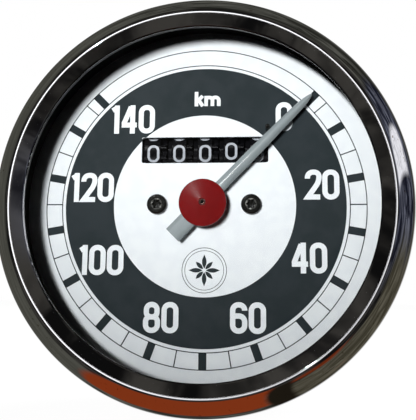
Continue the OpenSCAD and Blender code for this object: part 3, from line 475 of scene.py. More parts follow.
def screw_shell(place, base_z, up, head_r, top, shank_r, shank_l, recess_r, recess_lobe, count):
    """Screw with a rounded head: rings around its axis, of which the ones in the recess swell and
    shrink by recess_lobe, times the cosine of count times the angle. top is how far the head stands
    above base_z, and up is 1 or -1, the way it points along z."""
    rows = [(0, -shank_l, 0), (shank_r * 0.8, -shank_l, 0), (shank_r, -shank_l + 0.2, 0), (shank_r, 0, 0),
            (head_r, 0, 0), (head_r, top * 0.6, 0), (head_r * 0.985, top * 0.76, 0),
            (head_r * 0.93, top * 0.9, 0), (head_r * 0.85, top * 0.98, 0),
            (head_r * 0.78, top, 0), (head_r * 0.76, top, 0),
            (recess_r + 0.17, top, recess_lobe * 0.8), (recess_r + 0.15, top - 0.002, recess_lobe * 0.85),
            (recess_r + 0.09, top - 0.02, recess_lobe * 0.95), (recess_r + 0.04, top - 0.05, recess_lobe),
            (recess_r + 0.01, top - 0.1, recess_lobe), (recess_r, top - 0.16, recess_lobe),
            (recess_r - 0.06, top * 0.22, recess_lobe), (recess_r * 0.5, top * 0.18, recess_lobe * 0.4),
            (0, top * 0.1, 0)]
    grid = turned(rows, 96, lambda angle: np.cos(count * angle), place)
    grid[..., 2] = base_z + up * grid[..., 2]
    return shell(grid, closed_rows=False)


pan_head = dict(head_r=2.75, top=1.8, shank_r=1.4, shank_l=2.5, recess_r=0.95, recess_lobe=0.5, count=4)
case_screw_shells = [screw_shell(clock(angle, 14.5), 0, -1, **pan_head) for angle in (50, 230)]
piece("floor_screws", case_screw_shells, steel_bright, "case", ["case_screws"])

# Lamp holder
# A holder of moulded black plastic for the dial light, with a flat brass contact behind it. It is
# pushed into a hole in the case's floor.
black_plastic = finish(
    "holder_plastic", (0.018, 0.018, 0.019), (0.026, 0.026, 0.026),
    roughness=0.45, spread=0.06, waves=400, grain=3600, relief=4e-6)
holder_place = clock(250, 24.6)
grip_r, grip_end, collar_r, collar_back = 4.2, -5.0, 6.3, -1.5
barrel_r, barrel_end, socket_r, socket_floor = 4.8, 8.0, 3.8, 1.0
holder_outline = softened(
    [(0, grip_end), (grip_r, grip_end), (grip_r, collar_back), (collar_r, collar_back), (collar_r, 0),
     (barrel_r, 0), (barrel_r, barrel_end), (socket_r, barrel_end), (socket_r, socket_floor),
     (0, socket_floor)],
    [0, 0.5, 0.3, 0.4, 0, 0, 0.2, 0.2, 0.2, 0])
piece("lamp_socket", [shell(turned(holder_outline, 96, None, holder_place))], black_plastic, "case",
      ["lamp_holder"])

# Works behind the dial
# Plates, pillars, shafts, worms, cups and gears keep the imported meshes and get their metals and
# plastics: cast zinc, turned steel, brass, spun aluminium, a ground magnet and ivory mouldings.
brass = finish(
    "turned_brass", (0.66, 0.45, 0.17), (0.52, 0.34, 0.12),
    roughness=0.3, spread=0.08, waves=240, grain=3200, relief=1.5e-6, metallic=1.0)
steel = finish(
    "turned_steel", (0.5, 0.5, 0.49), (0.4, 0.4, 0.39),
    roughness=0.32, spread=0.1, waves=240, grain=3200, relief=1.5e-6, metallic=1.0)
zinc = finish(
    "cast_zinc", (0.42, 0.43, 0.44), (0.33, 0.34, 0.35),
    roughness=0.5, spread=0.1, waves=180, grain=2400, relief=6e-6, metallic=1.0)
aluminium = finish(
    "spun_aluminium", (0.72, 0.72, 0.73), (0.6, 0.6, 0.61),
    roughness=0.34, spread=0.08, waves=200, grain=2800, relief=2e-6, metallic=1.0)
magnet = finish(
    "ground_magnet", (0.12, 0.12, 0.13), (0.07, 0.07, 0.075),
    roughness=0.4, spread=0.1, waves=260, grain=2600, relief=3e-6, metallic=1.0)
ivory = finish(
    "moulded_ivory", (0.68, 0.66, 0.58), (0.6, 0.57, 0.49),
    roughness=0.42, spread=0.06, waves=320, grain=3200, relief=3e-6)
bronze = finish(
    "spring_bronze", (0.55, 0.33, 0.14), (0.45, 0.26, 0.1),
    roughness=0.28, spread=0.06, waves=300, grain=3000, relief=1e-6, metallic=1.0)
bulb = finish(
    "bulb_glass", (0.85, 0.83, 0.75), (0.8, 0.77, 0.66),
    roughness=0.12, spread=0.04, waves=200, grain=2000)
works = {
    "brass": brass, "steel": steel, "cast_zinc": zinc, "aluminium_sheet": aluminium, "magnet_alloy": magnet,
    "white_plastic": ivory, "spring_bronze": bronze, "bulb_glass": bulb, "black_rubber": rubber,
}
slot_of = {part["node"]: part["material_slot"] for part in frame["record"]["subparts"]}
for node, item in frame["nodes"].items():
    if slot_of.get(node) in works:
        item.data.materials.clear()
        item.data.materials.append(works[slot_of[node]])

# Number wheels
# Five wheels of glossy black plastic turn on one axle: a drum that carries ten white figures, a
# gear on its right, and on its left a locking disc with the two teeth that carry one over. The
# first has nothing to carry to and the last is driven by its own gear, so each has one plain side.
wheel_r, wheel_y, wheel_z, wheel_pitch, wheel_half = 7.0, 10.75, 29.6, 5.15, 2.5
axle_hole_r, lock_r, lock_tooth, gear_root_r, gear_tooth = 1.05, 5.2, 1.0, 5.5, 1.2
lock_end, gear_start, carry_teeth, drum_edge_r, bevel = -1.55, 1.4, 20, 6.8, 0.15
wheel_figure = dict(height=3.45, wide=2.38, line=0.48, thick=0.06)
wheel_black = finish(
    "wheel_black", (0.003, 0.003, 0.004), (0.005, 0.005, 0.006),
    roughness=0.12, spread=0.04, waves=500, grain=3000, relief=1e-6, specular=0.28)
wheel_white = finish(
    "wheel_figure", (0.42, 0.44, 0.48), (0.35, 0.37, 0.41),
    roughness=0.2, spread=0.05, waves=500, grain=4000)


def teeth(count, share=1.0):
    """Tooth form around a gear: a cosine made steep and cut flat, from 0 in the gaps to 1 on the teeth,
    with a gap at angle zero. With a share below 1 only the teeth near there are kept."""
    def form(angle):
        """The height of the teeth at each angle, as a share of a tooth."""
        angle = angle + np.pi / count
        wave = np.clip(0.5 + 1.1 * np.cos(count * angle), 0, 1)
        return wave * (np.cos(angle) > np.cos(np.pi * share))
    return form


def along_x(grid, x, y, z):
    """Lays a grid that was made around the z axis around an axis along x, and moves it to its place."""
    return np.stack([x + grid[..., 2], y + grid[..., 1], z - grid[..., 0]], -1)


def figure_paths(width, height):
    """Centre lines of the ten figures, each a list of outlines with how far their corners are rounded
    and whether they close. The corners are shares of a box that the centre lines fill."""
    w, h, r = width, height, 0.47 * width
    low, end = 0.5 * h, -0.1 * h
    hook = 0.78 * h
    return {
        "0": [([(0, 0), (w, 0), (w, h), (0, h)], r, True)],
        "1": [([(0.42 * w, end), (0.42 * w, h + 0.1 * h)], 0, False),
              ([(0.02 * w, 0.88 * h), (0.42 * w, h)], 0, False)],
        "2": [([(0.02 * w, 0.74 * h), (0.02 * w, h), (w, h), (w, 0.62 * h), (0.06 * w, 0), (1.08 * w, 0)],
               [0, r, r, r, 0, 0], False)],
        "3": [([(0, hook), (0, h), (w, h), (w, low), (0.35 * w, low)], [0, r, r, 0.7 * r, 0], False),
              ([(0.35 * w, low), (w, low), (w, 0), (0, 0), (0, h - hook)], [0, 0.7 * r, r, r, 0], False)],
        "4": [([(0.82 * w, end), (0.82 * w, h - end)], 0, False),
              ([(0.66 * w, 1.03 * h), (0.04 * w, 0.3 * h)], 0, False),
              ([(-0.14 * w, 0.26 * h), (1.2 * w, 0.26 * h)], 0, False)],
        "5": [([(w, h), (0, h), (0, 0.56 * h), (w, 0.56 * h), (w, 0), (0, 0), (0, h - hook)],
               [0, 0.1, 0.1, r, r, r, 0], False)],
        "6": [([(w, hook), (w, h), (0, h), (0, 0.5 * h)], [0, r, r, 0], False),
              ([(0, 0), (w, 0), (w, 0.57 * h), (0, 0.57 * h)], [r, r, r, 0.6 * r], True)],
        "7": [([(0, h), (w, h), (0.35 * w, end)], [0, 0.1, 0], False)],
        "8": [([(0, 0), (w, 0), (w, 0.52 * h), (0, 0.52 * h)], [r, r, 0.8 * r, 0.8 * r], True),
              ([(0.05 * w, 0.52 * h), (0.95 * w, 0.52 * h), (0.95 * w, h), (0.05 * w, h)],
               [0.8 * r, 0.8 * r, r, r], True)],
        "9": [([(0, h - hook), (0, 0), (w, 0), (w, 0.5 * h)], [0, r, r, 0], False),
              ([(0, h), (w, h), (w, 0.43 * h), (0, 0.43 * h)], [r, r, 0.6 * r, r], True)],
    }


def stroke(path, width, thick, closed, place):
    """A printed line: a flat bar of the given width and thickness carried along the path. At each point
    it stands across the mean of the two directions that meet there, and is widened by one over the
    cosine of half the turn, so that it keeps its width. place puts (u, v, height) onto the piece."""
    ahead = np.roll(path, -1, 0) - path
    behind = path - np.roll(path, 1, 0)
    if not closed:
        ahead[-1], behind[0] = behind[-1], ahead[0]
    ahead, behind = (side / np.linalg.norm(side, axis=1)[:, None] for side in (ahead, behind))
    mean = ahead + behind
    mean /= np.linalg.norm(mean, axis=1)[:, None]
    widen = 1 / np.maximum(np.einsum("ij,ij->i", mean, ahead), 0.45)
    offset = np.stack([-mean[:, 1], mean[:, 0]], -1) * (widen * width / 2)[:, None]
    left, right = path + offset, path - offset
    ring = np.stack([left, left, right, right], 1)
    height = np.broadcast_to(np.array([0, thick, thick, 0.0]), ring.shape[:2])
    if not closed:
        ring = np.concatenate([np.repeat(path[:1, None], 4, 1), ring, np.repeat(path[-1:, None], 4, 1)])
        flat = np.full((1, 4), thick / 2)
        height = np.concatenate([flat, height, flat])
    return shell(place(ring[..., 0], ring[..., 1], height), closed_rows=closed)


def written(text, height, wide, line, thick, place, gap=0.35):
    """The figures of a number, upright and side by side: each figure's strokes are moved along by the
    widths before it, and half the whole width is taken off, so that the number is centred. Strokes
    that cross lie a little higher one above the other."""
    paths = figure_paths(wide - line, height - line)
    advance = {"1": 0.62 * wide, "2": 0.95 * wide, "4": 1.02 * wide}
    widths = [advance.get(letter, wide) for letter in text]
    start = -(sum(widths) + gap * (len(text) - 1)) / 2
    shells = []
    for letter, span in zip(text, widths):
        for layer, (corners, cut, closed) in enumerate(paths[letter]):
            path = softened(corners, cut, closed, 9) + (start + line / 2, (line - height) / 2)
            shells.append(stroke(path, line, thick + 0.008 * layer, closed, place))
        start += span + gap
    return shells


for i in range(1, 6):
    wheel_x = (i - 3) * wheel_pitch
    left = [(lock_r, -wheel_half, lock_tooth), (lock_r, lock_end, lock_tooth), (drum_edge_r, lock_end, 0),
            (wheel_r, lock_end + bevel, 0)]
    right = [(wheel_r, gear_start - 0.1, 0), (wheel_r - bevel, gear_start, 0),
             (gear_root_r, gear_start, gear_tooth), (gear_root_r, wheel_half, gear_tooth)]
    if i == 1:
        left = [(drum_edge_r, -wheel_half, 0), (wheel_r, bevel - wheel_half, 0)]
    if i == 5:
        right = [(wheel_r, wheel_half - bevel, 0), (drum_edge_r, wheel_half, 0)]
    left, right = [(axle_hole_r, -wheel_half, 0), *left], [*right, (axle_hole_r, wheel_half, 0)]
    sides = [turned(left, 480, teeth(carry_teeth, 0.06)), turned(right, 480, teeth(carry_teeth))]
    wheel = shell(along_x(np.concatenate(sides), wheel_x, wheel_y, wheel_z))
    piece(f"wheel_{i}", [wheel], wheel_black, f"number_{i}", [f"number_wheel_{i}"])
    # The zeros stand a little below the middle of the window; the fourth wheel's stands in it
    shown_at = -0.003 if i == 4 else -0.064
    figures = []
    for value in range(10):
        rise = shown_at - math.radians(36 * value)

        def on_wheel(u, v, lift, rise=rise, x=wheel_x):
            """Wraps the figure round the drum: its height becomes an angle about the axle."""
            angle, r = rise + v / wheel_r, wheel_r - 0.01 + lift
            return np.stack([x + u, wheel_y + r * np.sin(angle), wheel_z + r * np.cos(angle)], -1)

        figures += written(str(value), place=on_wheel, **wheel_figure)
    piece(f"wheel_figures_{i}", figures, wheel_white, f"number_{i}")

# Dial plate
# Aluminium sheet with a satin silver coat, held by two screws. A window with rounded corners is
# punched in it for the counter.
dial_back, dial_face, dial_r = 37.0, 37.8, 34.7
window = dict(half_w=12.4, half_h=2.57, y=10.75)
silver = finish(
    "dial_silver", (0.80, 0.83, 0.85), (0.76, 0.79, 0.82),
    roughness=0.42, spread=0.08, waves=420, grain=2600, relief=1e-6)


def window_edge(grow, count=720):
    """Points on the window's edge in evenly spaced directions from its middle: a rectangle whose
    corners follow a high power of the sides' shares, grown by the given distance."""
    angle = np.arange(count) * 2 * np.pi / count
    a, b = window["half_w"] + grow, window["half_h"] + grow
    power = 26
    reach = (np.abs(np.cos(angle) / a) ** power + np.abs(np.sin(angle) / b) ** power) ** (-1 / power)
    return angle, reach * np.cos(angle), reach * np.sin(angle) + window["y"]


def dial_edge(radius, angle):
    """Where a ray from the middle of the window meets the circle of the given radius about the axis."""
    drop = window["y"]
    reach = -drop * np.sin(angle) + np.sqrt(radius**2 - (drop * np.cos(angle)) ** 2)
    return reach * np.cos(angle), reach * np.sin(angle) + drop


rows = []
for grow, z in ((0, dial_back), (0, dial_face - 0.02), (0.02, dial_face)):
    angle, x, y = window_edge(grow)
    rows.append(np.stack([x, y, np.full_like(x, z)], -1))
for radius, z in ((dial_r - 0.1, dial_face), (dial_r, dial_face - 0.1), (dial_r, dial_back)):
    x, y = dial_edge(radius, angle)
    rows.append(np.stack([x, y, np.full_like(x, z)], -1))
piece("dial_sheet", [shell(np.stack(rows))], silver, "case", ["dial_plate"])

# Print on the dial
# Screen print in dark grey, 0.03 mm thick: a broad ring, two thin circles with the scale's bars and
# lines between them, and low on the dial a plain rosette in two fine rings.
ink = finish(
    "dial_ink", (0.021, 0.028, 0.031), (0.026, 0.033, 0.037),
    roughness=0.5, spread=0.08, waves=300, grain=2600, relief=1e-6, specular=0.1)
ink_t = 0.03
ink_low, ink_high = dial_face - 0.01, dial_face + ink_t
ring_in, ring_out, corner_r = 17.66, 27.2, 18.4
circle_in, circle_out, circle_line, bar_line, thin_line = 27.87, 31.0, 0.18, 1.5, 0.22


def fine_ring(radius, line, columns=360, centre=(0.0, 0.0)):
    """A printed circle: the flat cross-section of the line, half of it on either side of the radius,
    turned about the centre."""
    inner, outer = radius - line / 2, radius + line / 2
    profile = [(inner, ink_low), (outer, ink_low), (outer, ink_high), (inner, ink_high)]
    return shell(turned(profile, columns, None, centre))


def broad_ring(columns=1440):
    """The dark ring: at each angle its inner edge is the circle or, where that lies further out, the
    edge of the window, and its outer edge is a circle."""
    angle = np.arange(columns) * 2 * np.pi / columns
    side = window["half_w"] / np.maximum(np.abs(np.cos(angle)), 1e-6)
    top = (window["y"] + window["half_h"]) / np.maximum(np.sin(angle), 1e-6)
    inner = np.maximum(ring_in, np.minimum(side, top) * (np.sin(angle) > 0))
    inner = np.minimum(inner, corner_r)
    outer = np.full(columns, ring_out)
    radius = np.stack([inner, outer, outer, inner])
    z = np.broadcast_to(np.array([ink_low, ink_low, ink_high, ink_high])[:, None], radius.shape)
    return shell(np.stack([radius * np.cos(angle), radius * np.sin(angle), z], -1))


def on_dial(x0=0.0, y0=0.0):
    """Puts a stroke onto the dial: its own plane is moved to the point and its height adds to the face."""
    return lambda u, v, lift: np.stack([x0 + u, y0 + v, ink_low + lift], -1)


emblem_at = (0.17, -12.59)


def petal(bearing, length, half=0.62, low=0.3):
    """A pointed leaf of the rosette at a clock angle: a kite with its two sides rounded, drawn as rings
    that grow from its middle to its edge and back, once for the lower face and once for the upper."""
    out = np.array(clock(bearing, 1.0))
    side = np.array([out[1], -out[0]])
    middle, tip = 0.5 * length * out, length * out
    edge = softened([low * out, middle + half * side, tip, middle - half * side], [0, 0.8, 0, 0.8], steps=7)
    edge = edge + emblem_at
    centre = edge.mean(0)
    levels = ((0.0, ink_low), (1.0, ink_low), (1.0, ink_high), (0.0, ink_high))
    rings = [np.column_stack([centre + (edge - centre) * grow, np.full(len(edge), z)]) for grow, z in levels]
    return shell(np.stack(rings), closed_rows=False)


bars = [45, 60] + list(range(80, 301, 20)) + [315]
lines = [50] + list(range(70, 291, 20)) + [310]
scale = [broad_ring(), fine_ring(circle_in, circle_line), fine_ring(circle_out, circle_line)]
for angles, line in ((bars, bar_line), (lines, thin_line)):
    for angle in angles:
        mark = np.array([clock(angle, circle_in), clock(angle, circle_out)])
        scale.append(stroke(mark, line, ink_t + 0.01, False, on_dial()))
scale += [fine_ring(4.25, 0.12, 160, emblem_at), fine_ring(3.71, 0.1, 160, emblem_at)]
scale += [petal(45 * i, 3.0 if i % 2 == 0 else 2.3) for i in range(8)]
piece("dial_print", scale, ink, "case")

# Figures on the dial
# Upright narrow figures, 5.8 mm high, and a bolder "km" above them, printed over the dark ring in a
# silver a little lighter than the dial's.
figure_white = finish(
    "dial_figure", (0.82, 0.85, 0.87), (0.78, 0.81, 0.84),
    roughness=0.42, spread=0.08, waves=420, grain=2600, relief=1e-6)
dial_figure = dict(height=5.8, wide=3.25, line=1.0, thick=0.05, gap=0.25)
numbers = {"0": (15.49, 17.26), "20": (22.61, 3.83), "40": (19.96, -10.16), "60": (8.5, -21.37),
           "80": (-7.98, -21.48), "100": (-19.95, -10.75), "120": (-22.2, 3.41), "140": (-14.5, 17.05)}
figures = []
for number, (x, y) in numbers.items():
    figures += written(number, place=on_dial(x, y), **dial_figure)
# The strokes of "km" from its lower left corner: three for the k, and for the m a stem and two arches
unit = [([(0.62, 0), (0.62, 2.94)], 0, False), ([(0.75, 0.9), (1.85, 2.1)], 0, False),
        ([(1.05, 1.3), (1.9, 0)], 0, False), ([(2.55, 0), (2.55, 2.08)], 0, False),
        ([(2.55, 1.1), (2.55, 1.75), (3.8, 1.75), (3.8, 0)], [0, 0.45, 0.6, 0], False),
        ([(3.8, 1.1), (3.8, 1.75), (5.05, 1.75), (5.05, 0)], [0, 0.45, 0.6, 0], False)]
unit_at, unit_line = (-2.35, 19.56), 0.72
for layer, (corners, cut, closed) in enumerate(unit):
    path = softened(corners, cut, closed, 7)
    thick = dial_figure["thick"] + 0.008 * layer
    figures.append(stroke(path, unit_line, thick, closed, on_dial(*unit_at)))
piece("dial_figures", figures, figure_white, "case")

# Dial screws and stop pin
# Two M2 screws of blackened steel with six-lobe recesses hold the dial on its posts. A steel pin,
# riveted into the dial and blackened too, stops the pointer.
black_steel = finish(
    "blackened_steel", (0.004, 0.004, 0.0035), (0.006, 0.006, 0.005),
    roughness=0.2, spread=0.05, waves=700, grain=4000, relief=1e-6, specular=0.3)
screw_x = 9.1
socket_head = dict(head_r=1.95, top=1.2, shank_r=0.95, shank_l=4, recess_r=0.78, recess_lobe=0.17, count=6)
dial_screw_shells = [screw_shell((side * screw_x, 0), dial_face, 1, **socket_head) for side in (-1, 1)]
oxide_and_glints, coat = blank("worn_oxide_and_glints")
# The rim of the recess is lighter in patches. This is partly the driver's wear on the coat, here and there
# down to the metal, and partly painted glints where the rim would catch the light. Distances are in metres,
# as the place is: from the nearer screw's axis, and down from the top of its head.
recess_rim, head_top = socket_head["recess_r"] / 1000, (dial_face + socket_head["top"]) / 1000
screw_east, screw_depth, screw_north = coat.parts(coat.place())
from_screw = ((screw_east.math("ABSOLUTE", screw_east) - screw_x / 1000) ** 2 + screw_north**2) ** 0.5
rubbed_and_glint = from_screw.rise(recess_rim - 6e-5, recess_rim + 2e-5)
rubbed_and_glint = rubbed_and_glint * from_screw.rise(recess_rim + 34e-5, recess_rim + 26e-5)
rubbed_and_glint = rubbed_and_glint * screw_depth.rise(12e-5 - head_top, 6e-5 - head_top)
rubbed_and_glint = rubbed_and_glint * (coat.noise(1300, 2.0).rise(0.5, 0.64) * 0.85 + 0.15)
coat_sockets = {
    # Wear and painted glints: the rim of the recess turns light grey and a little metallic
    "Base Color": coat.mixed(rubbed_and_glint, (0.005, 0.005, 0.004), (0.34, 0.34, 0.32)),
    "Metallic": rubbed_and_glint * 0.3,
    "Roughness": rubbed_and_glint * 0.15 + 0.25,
    "Specular IOR Level": 0.3,
}
coat_shine = coat.node("ShaderNodeBsdfPrincipled", None, coat_sockets)
coat.node("ShaderNodeOutputMaterial", None, {0: coat_shine.outputs[0]})
piece("dial_fixings", dial_screw_shells, oxide_and_glints, "case", ["dial_screws"])
pin_place, pin_r, pin_foot_r, pin_foot, pin_top = clock(39.9, 19.2), 0.45, 0.75, 36.7, 41.0
pin_outline = softened(
    [(0, pin_foot), (pin_foot_r, pin_foot), (pin_foot_r, dial_back), (pin_r, dial_back), (pin_r, pin_top),
     (0, pin_top)],
    [0, 0, 0, 0, 0.2, 0])
piece("pointer_stop", [shell(turned(pin_outline, 48, None, pin_place))], black_steel, "case",
      ["stop_pin"])

# Pointer
# Pressed aluminium in satin grey: flat with rolled edges at the tail, and arched from the cap to the
# tip. It is riveted to the spindle under the cap.
pointer_grey = finish(
    "pointer_paint", (0.275, 0.31, 0.32), (0.255, 0.29, 0.30),
    roughness=0.15, spread=0.02, waves=380, grain=4200, relief=2e-6)
# At each station along it and each share of its half width the top has a height: on the tail it is
# flat and falls off at the edges with a power of the share, on the blade it is a parabola, and from 1
# to 4 mm past the axis one goes over into the other. The underside is flat.
pointer_angle, pointer_z, pointer_t, edge_t = 44.5, 39.8, 0.9, 0.22
stations = np.array([-8.4, -8.3, -6, -3, -1, 1, 3, 5, 9, 14, 18, 21, 24, 26.5, 28, 29, 29.6, 29.7])
known = [-8.4, -8.3, -1, 4, 14, 20, 24, 27, 28.5, 29.6, 29.7]
half_width = np.interp(stations, known, [1.66, 1.72, 1.68, 1.12, 1.08, 0.96, 0.86, 0.74, 0.52, 0.16, 0.08])
middle = np.interp(stations, [-8.4, 4, 20], [0.2, 0.06, 0.0])
share = np.linspace(-1, 1, 41)
tail_top = pointer_t * (1 - 0.62 * np.abs(share) ** 3.2)
blade_top = edge_t + (pointer_t - edge_t) * (1 - share**2)
folded = np.clip((stations - 1) / 3, 0, 1)[:, None]
top = (tail_top * (1 - folded) + blade_top * folded) * np.interp(stations, [26, 29.7], [1, 0.5])[:, None]
wide = np.concatenate([share, share[::-1]])
lift = np.concatenate([top, np.zeros_like(top)], 1)
blade = np.stack([middle[:, None] + half_width[:, None] * wide,
                  np.broadcast_to(stations[:, None], lift.shape), lift], -1)
tail_end, tip = (np.broadcast_to(blade[k].mean(0), blade[k].shape)[None] for k in (0, -1))
blade = np.concatenate([tail_end, blade, tip])
swing = math.radians(pointer_angle)
across_it, along_it, above = np.moveaxis(blade, -1, 0)
blade = np.stack([across_it * math.cos(swing) + along_it * math.sin(swing),
                  along_it * math.cos(swing) - across_it * math.sin(swing), above + pointer_z], -1)
piece("pointer_blade", [shell(blade, closed_rows=False)], pointer_grey, "pointer",
      ["pointer"], sharp=18)

# Pointer cap and spindle
# A dark red plastic cap, a very flat cone with a square edge, pressed over the brass eye in which
# the spindle ends.
cap_red = finish(
    "cap_red", (0.158, 0.0045, 0.005), (0.143, 0.004, 0.0045),
    roughness=0.2, spread=0.05, waves=520, grain=3600, relief=1e-6, specular=0.35)
cap_z, cap_r, cap_side, cap_rise, hub_r, hole_r = pointer_z + pointer_t, 4.52, 0.55, 1.4, 1.48, 0.62
cap_outline = softened(
    [(hole_r, pointer_z), (hub_r, pointer_z), (hub_r, cap_z), (cap_r, cap_z), (cap_r, cap_z + cap_side),
     (hole_r + 0.13, cap_z + cap_rise), (hole_r, cap_z + cap_rise - 0.08)],
    [0, 0, 0, 0.1, 0.12, 0.08, 0.05])
piece("red_cap", [shell(turned(cap_outline))], cap_red, "pointer", ["pointer_cap"], sharp=25)
pivot_r, pivot_end, pivot_top, spindle_r, spindle_top = 0.4, 15.3, 18.5, 0.48, cap_z + 0.2
spindle_outline = softened(
    [(0, pivot_end), (pivot_r, pivot_end), (pivot_r, pivot_top), (spindle_r, pivot_top),
     (spindle_r, spindle_top), (0, spindle_top)],
    [0, 0.1, 0, 0, 0.05, 0])
eye_in, eye_out, eye_low, eye_top = 0.3, 0.52, cap_z - 0.5, cap_z + cap_rise
eye_outline = softened(
    [(eye_in, eye_low), (eye_out, eye_low), (eye_out, eye_top + 0.03), (eye_in + 0.02, eye_top)],
    [0, 0, 0.1, 0.06])
piece("spindle", [shell(turned(spindle_outline, 48))], black_steel, "pointer", ["pointer_spindle"])
eye_metal = finish(
    "eye_metal", (0.34, 0.20, 0.17), (0.28, 0.16, 0.13),
    roughness=0.3, spread=0.05, waves=300, grain=3000, relief=1e-6, metallic=1.0)
piece("spindle_eye", [shell(turned(eye_outline, 48))], eye_metal, "pointer")

# Inner ring, gasket and glass
# A matt black ring stands on the case rim and hides the dial's edge; on it lie a rubber gasket and
# a 2 mm disc of clear glass, which the bezel's lip presses down.
ring_black = finish(
    "ring_black", (0.004, 0.004, 0.004), (0.006, 0.006, 0.006),
    roughness=0.6, spread=0.08, waves=300, grain=4000, relief=4e-6, specular=0.0)
wall_in, wall_out, wall_foot, shelf_r, lip_r = 34.9, 36.0, 37.9, 36.6, 33.2
lip_low, shelf_low, wall_top = 41.9, 42.5, 44.5
glass_low, glass_high, glass_r = 45.3, 47.3, 35.6
inner_outline = softened(
    [(wall_in, rim_top), (wall_foot, rim_top), (wall_foot, rim_top + 1), (wall_out, rim_top + 1.6),
     (wall_out, shelf_low), (shelf_r, shelf_low + 0.8), (shelf_r, wall_top), (lip_r, wall_top),
     (lip_r, wall_top - 0.8), (wall_in, lip_low)], 0.12)
piece("wall_ring", [shell(turned(inner_outline))], ring_black, "case", ["glare_ring"])
gasket_in, gasket_top = glass_r + 0.05, 46.3
gasket_outline = softened(
    [(lip_r, wall_top), (shelf_r, wall_top), (shelf_r, gasket_top), (gasket_in, gasket_top),
     (gasket_in, glass_low), (lip_r, glass_low)], 0.12)
piece("glass_gasket", [shell(turned(gasket_outline))], rubber, "case", ["lens_gasket"])
clear_glass, clear = blank("clear_glass")
# Light passes straight through, so only the face by which it enters the disc mirrors any
leaving = Number(clear, clear.node("ShaderNodeNewGeometry").outputs["Backfacing"])
gleam = Number(clear, clear.node("ShaderNodeFresnel", None, {"IOR": 1.5}).outputs[0])
gleam = gleam * (1 - leaving) * (1 - clear.light_path("Is Diffuse Ray"))
smudge = clear.noise(120, 3.0).rise(0.45, 0.8)
mirror_sockets = {"Base Color": (1.0, 1.0, 1.0, 1.0), "Metallic": 1.0, "Roughness": smudge * 0.02 + 0.01}
mirror = clear.node("ShaderNodeBsdfPrincipled", None, mirror_sockets)
through = clear.node("ShaderNodeBsdfTransparent", None, {"Color": (0.985, 0.99, 0.99, 1.0)})
pane = clear.node("ShaderNodeMixShader", None, {0: gleam, 1: through.outputs[0], 2: mirror.outputs[0]})
clear.node("ShaderNodeOutputMaterial", None, {0: pane.outputs[0]})
glass_outline = softened(
    [(0, glass_low), (glass_r, glass_low), (glass_r, glass_high), (0, glass_high)], [0, 0.25, 0.25, 0])
piece("glass_disc", [shell(turned(glass_outline))], clear_glass, "case", ["lens_glass"])

# Bezel
# Brass strip, rolled and chrome plated: a lip over the glass, a sharp crest, a domed side and a
# skirt whose edge is crimped behind the case rim.
bezel_chrome, plating = blank("bezel_chrome")
ripple = plating.noise(110, 3.0)
# The strip's cut edge and the face on the glass are painted dark as shade and made rougher, so that they
# hardly mirror. On the left, a length of the edge and specks below it are left bright, so that glints show
# there. Pits lie outside the crest only.
east, depth, north = plating.parts(plating.place())
from_centre = (east**2 + north**2) ** 0.5
pits = plating.noise(1500, 3.0).rise(0.64, 0.74) * from_centre.rise(0.0350, 0.0354)
relief_sockets = {"Strength": 0.6, "Distance": 2.5e-5, "Height": ripple - pits * 0.02}
relief = plating.node("ShaderNodeBump", None, relief_sockets)
# Painted shade: marks the face on the glass and the cut edge to be darkened, so that they mirror little
# light onto the dial or to the eye
painted_shade_underside = from_centre.rise(0.0340, 0.0338) * depth.rise(-0.0477, -0.0475)
painted_shade_edge = from_centre.rise(0.03250, 0.03242).larger(painted_shade_underside)
leftward = (-east) - north * 0.10
# Where the painted shade is left off on the left, so that glints show: a bright length and specks below it
glint_specks = leftward.rise(0.026, 0.031) * plating.noise(1600, 3.0).rise(0.56, 0.62)
glint_length = leftward.rise(0.0314, 0.0322).larger(glint_specks)
plate_colour = plating.mixed(pits, (0.78, 0.78, 0.79), (0.5, 0.46, 0.42))
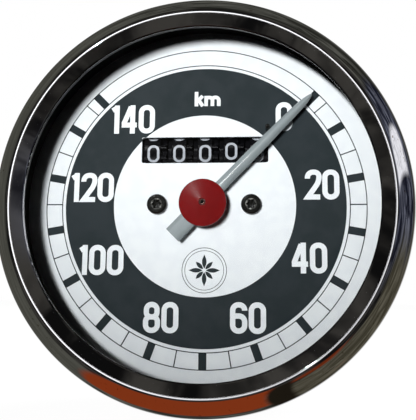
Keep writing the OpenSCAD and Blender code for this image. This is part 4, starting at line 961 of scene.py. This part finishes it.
# The painted shade: near black on the marked faces, except where the glints are left
plate_colour = plating.mixed(painted_shade_edge * (1 - glint_length), plate_colour, (0.012, 0.010, 0.009))
chrome_sockets = {
    "Base Color": plate_colour,
    "Metallic": 1.0,
    "Roughness": pits * 0.12 + 0.025 + painted_shade_edge * 0.2,
    "Normal": relief.outputs[0],
}
plated = plating.node("ShaderNodeBsdfPrincipled", None, chrome_sockets)
plating.node("ShaderNodeOutputMaterial", None, {0: plated.outputs[0]})

crest_r, crest_z, shoulder_z, bezel_r, bezel_t = 34.7, 48.8, 42.0, 39.1, 0.8
skirt_in, skirt_z, skirt_curl, edge_r, edge_z, edge_curl, lean = 36.3, 36.0, 1.2, 32.5, 47.76, 0.2, 20.8


def quarter(centre, size, first, last, count):
    """Points on an ellipse about a centre: the cosine and sine of angles from first to last, in
    degrees, times the two sizes."""
    angle = np.radians(np.linspace(first, last, count))
    return np.stack([centre[0] + size[0] * np.cos(angle), centre[1] + size[1] * np.sin(angle)], -1)


# From the crimped edge around the outside to the crest, down a straight ramp that touches the
# roundings of crest and cut edge, and back inside one thickness of the strip lower
ramp = np.linspace((34.631, 48.784), (32.429, 47.947), 12)[1:-1]
bezel_outline = np.concatenate([
    [(skirt_in, seat_front)],
    quarter((bezel_r - skirt_curl, skirt_z), (skirt_curl, skirt_curl), -90, 0, 8),
    quarter((crest_r, shoulder_z), (bezel_r - crest_r, crest_z - shoulder_z), 2, 87, 56),
    quarter((crest_r + 0.02, crest_z - 0.25), (0.25, 0.25), 88, 90 + lean, 7),
    ramp,
    quarter((edge_r, edge_z), (edge_curl, edge_curl), 90 + lean, 180, 6),
    [(edge_r - edge_curl, glass_high + 0.2), (edge_r - 0.1, glass_high), (edge_r + 0.8, glass_high)],
    quarter((crest_r, shoulder_z), (bezel_r - crest_r - bezel_t, crest_z - shoulder_z - bezel_t), 90, 0, 24),
    quarter((bezel_r - skirt_curl, skirt_z), (skirt_curl - bezel_t, skirt_curl - bezel_t), 0, -90, 6),
    [(skirt_in, rim_z)],
])
piece("bezel_ring", [shell(turned(bezel_outline, 320))], bezel_chrome, "case", ["bezel"], sharp=40)
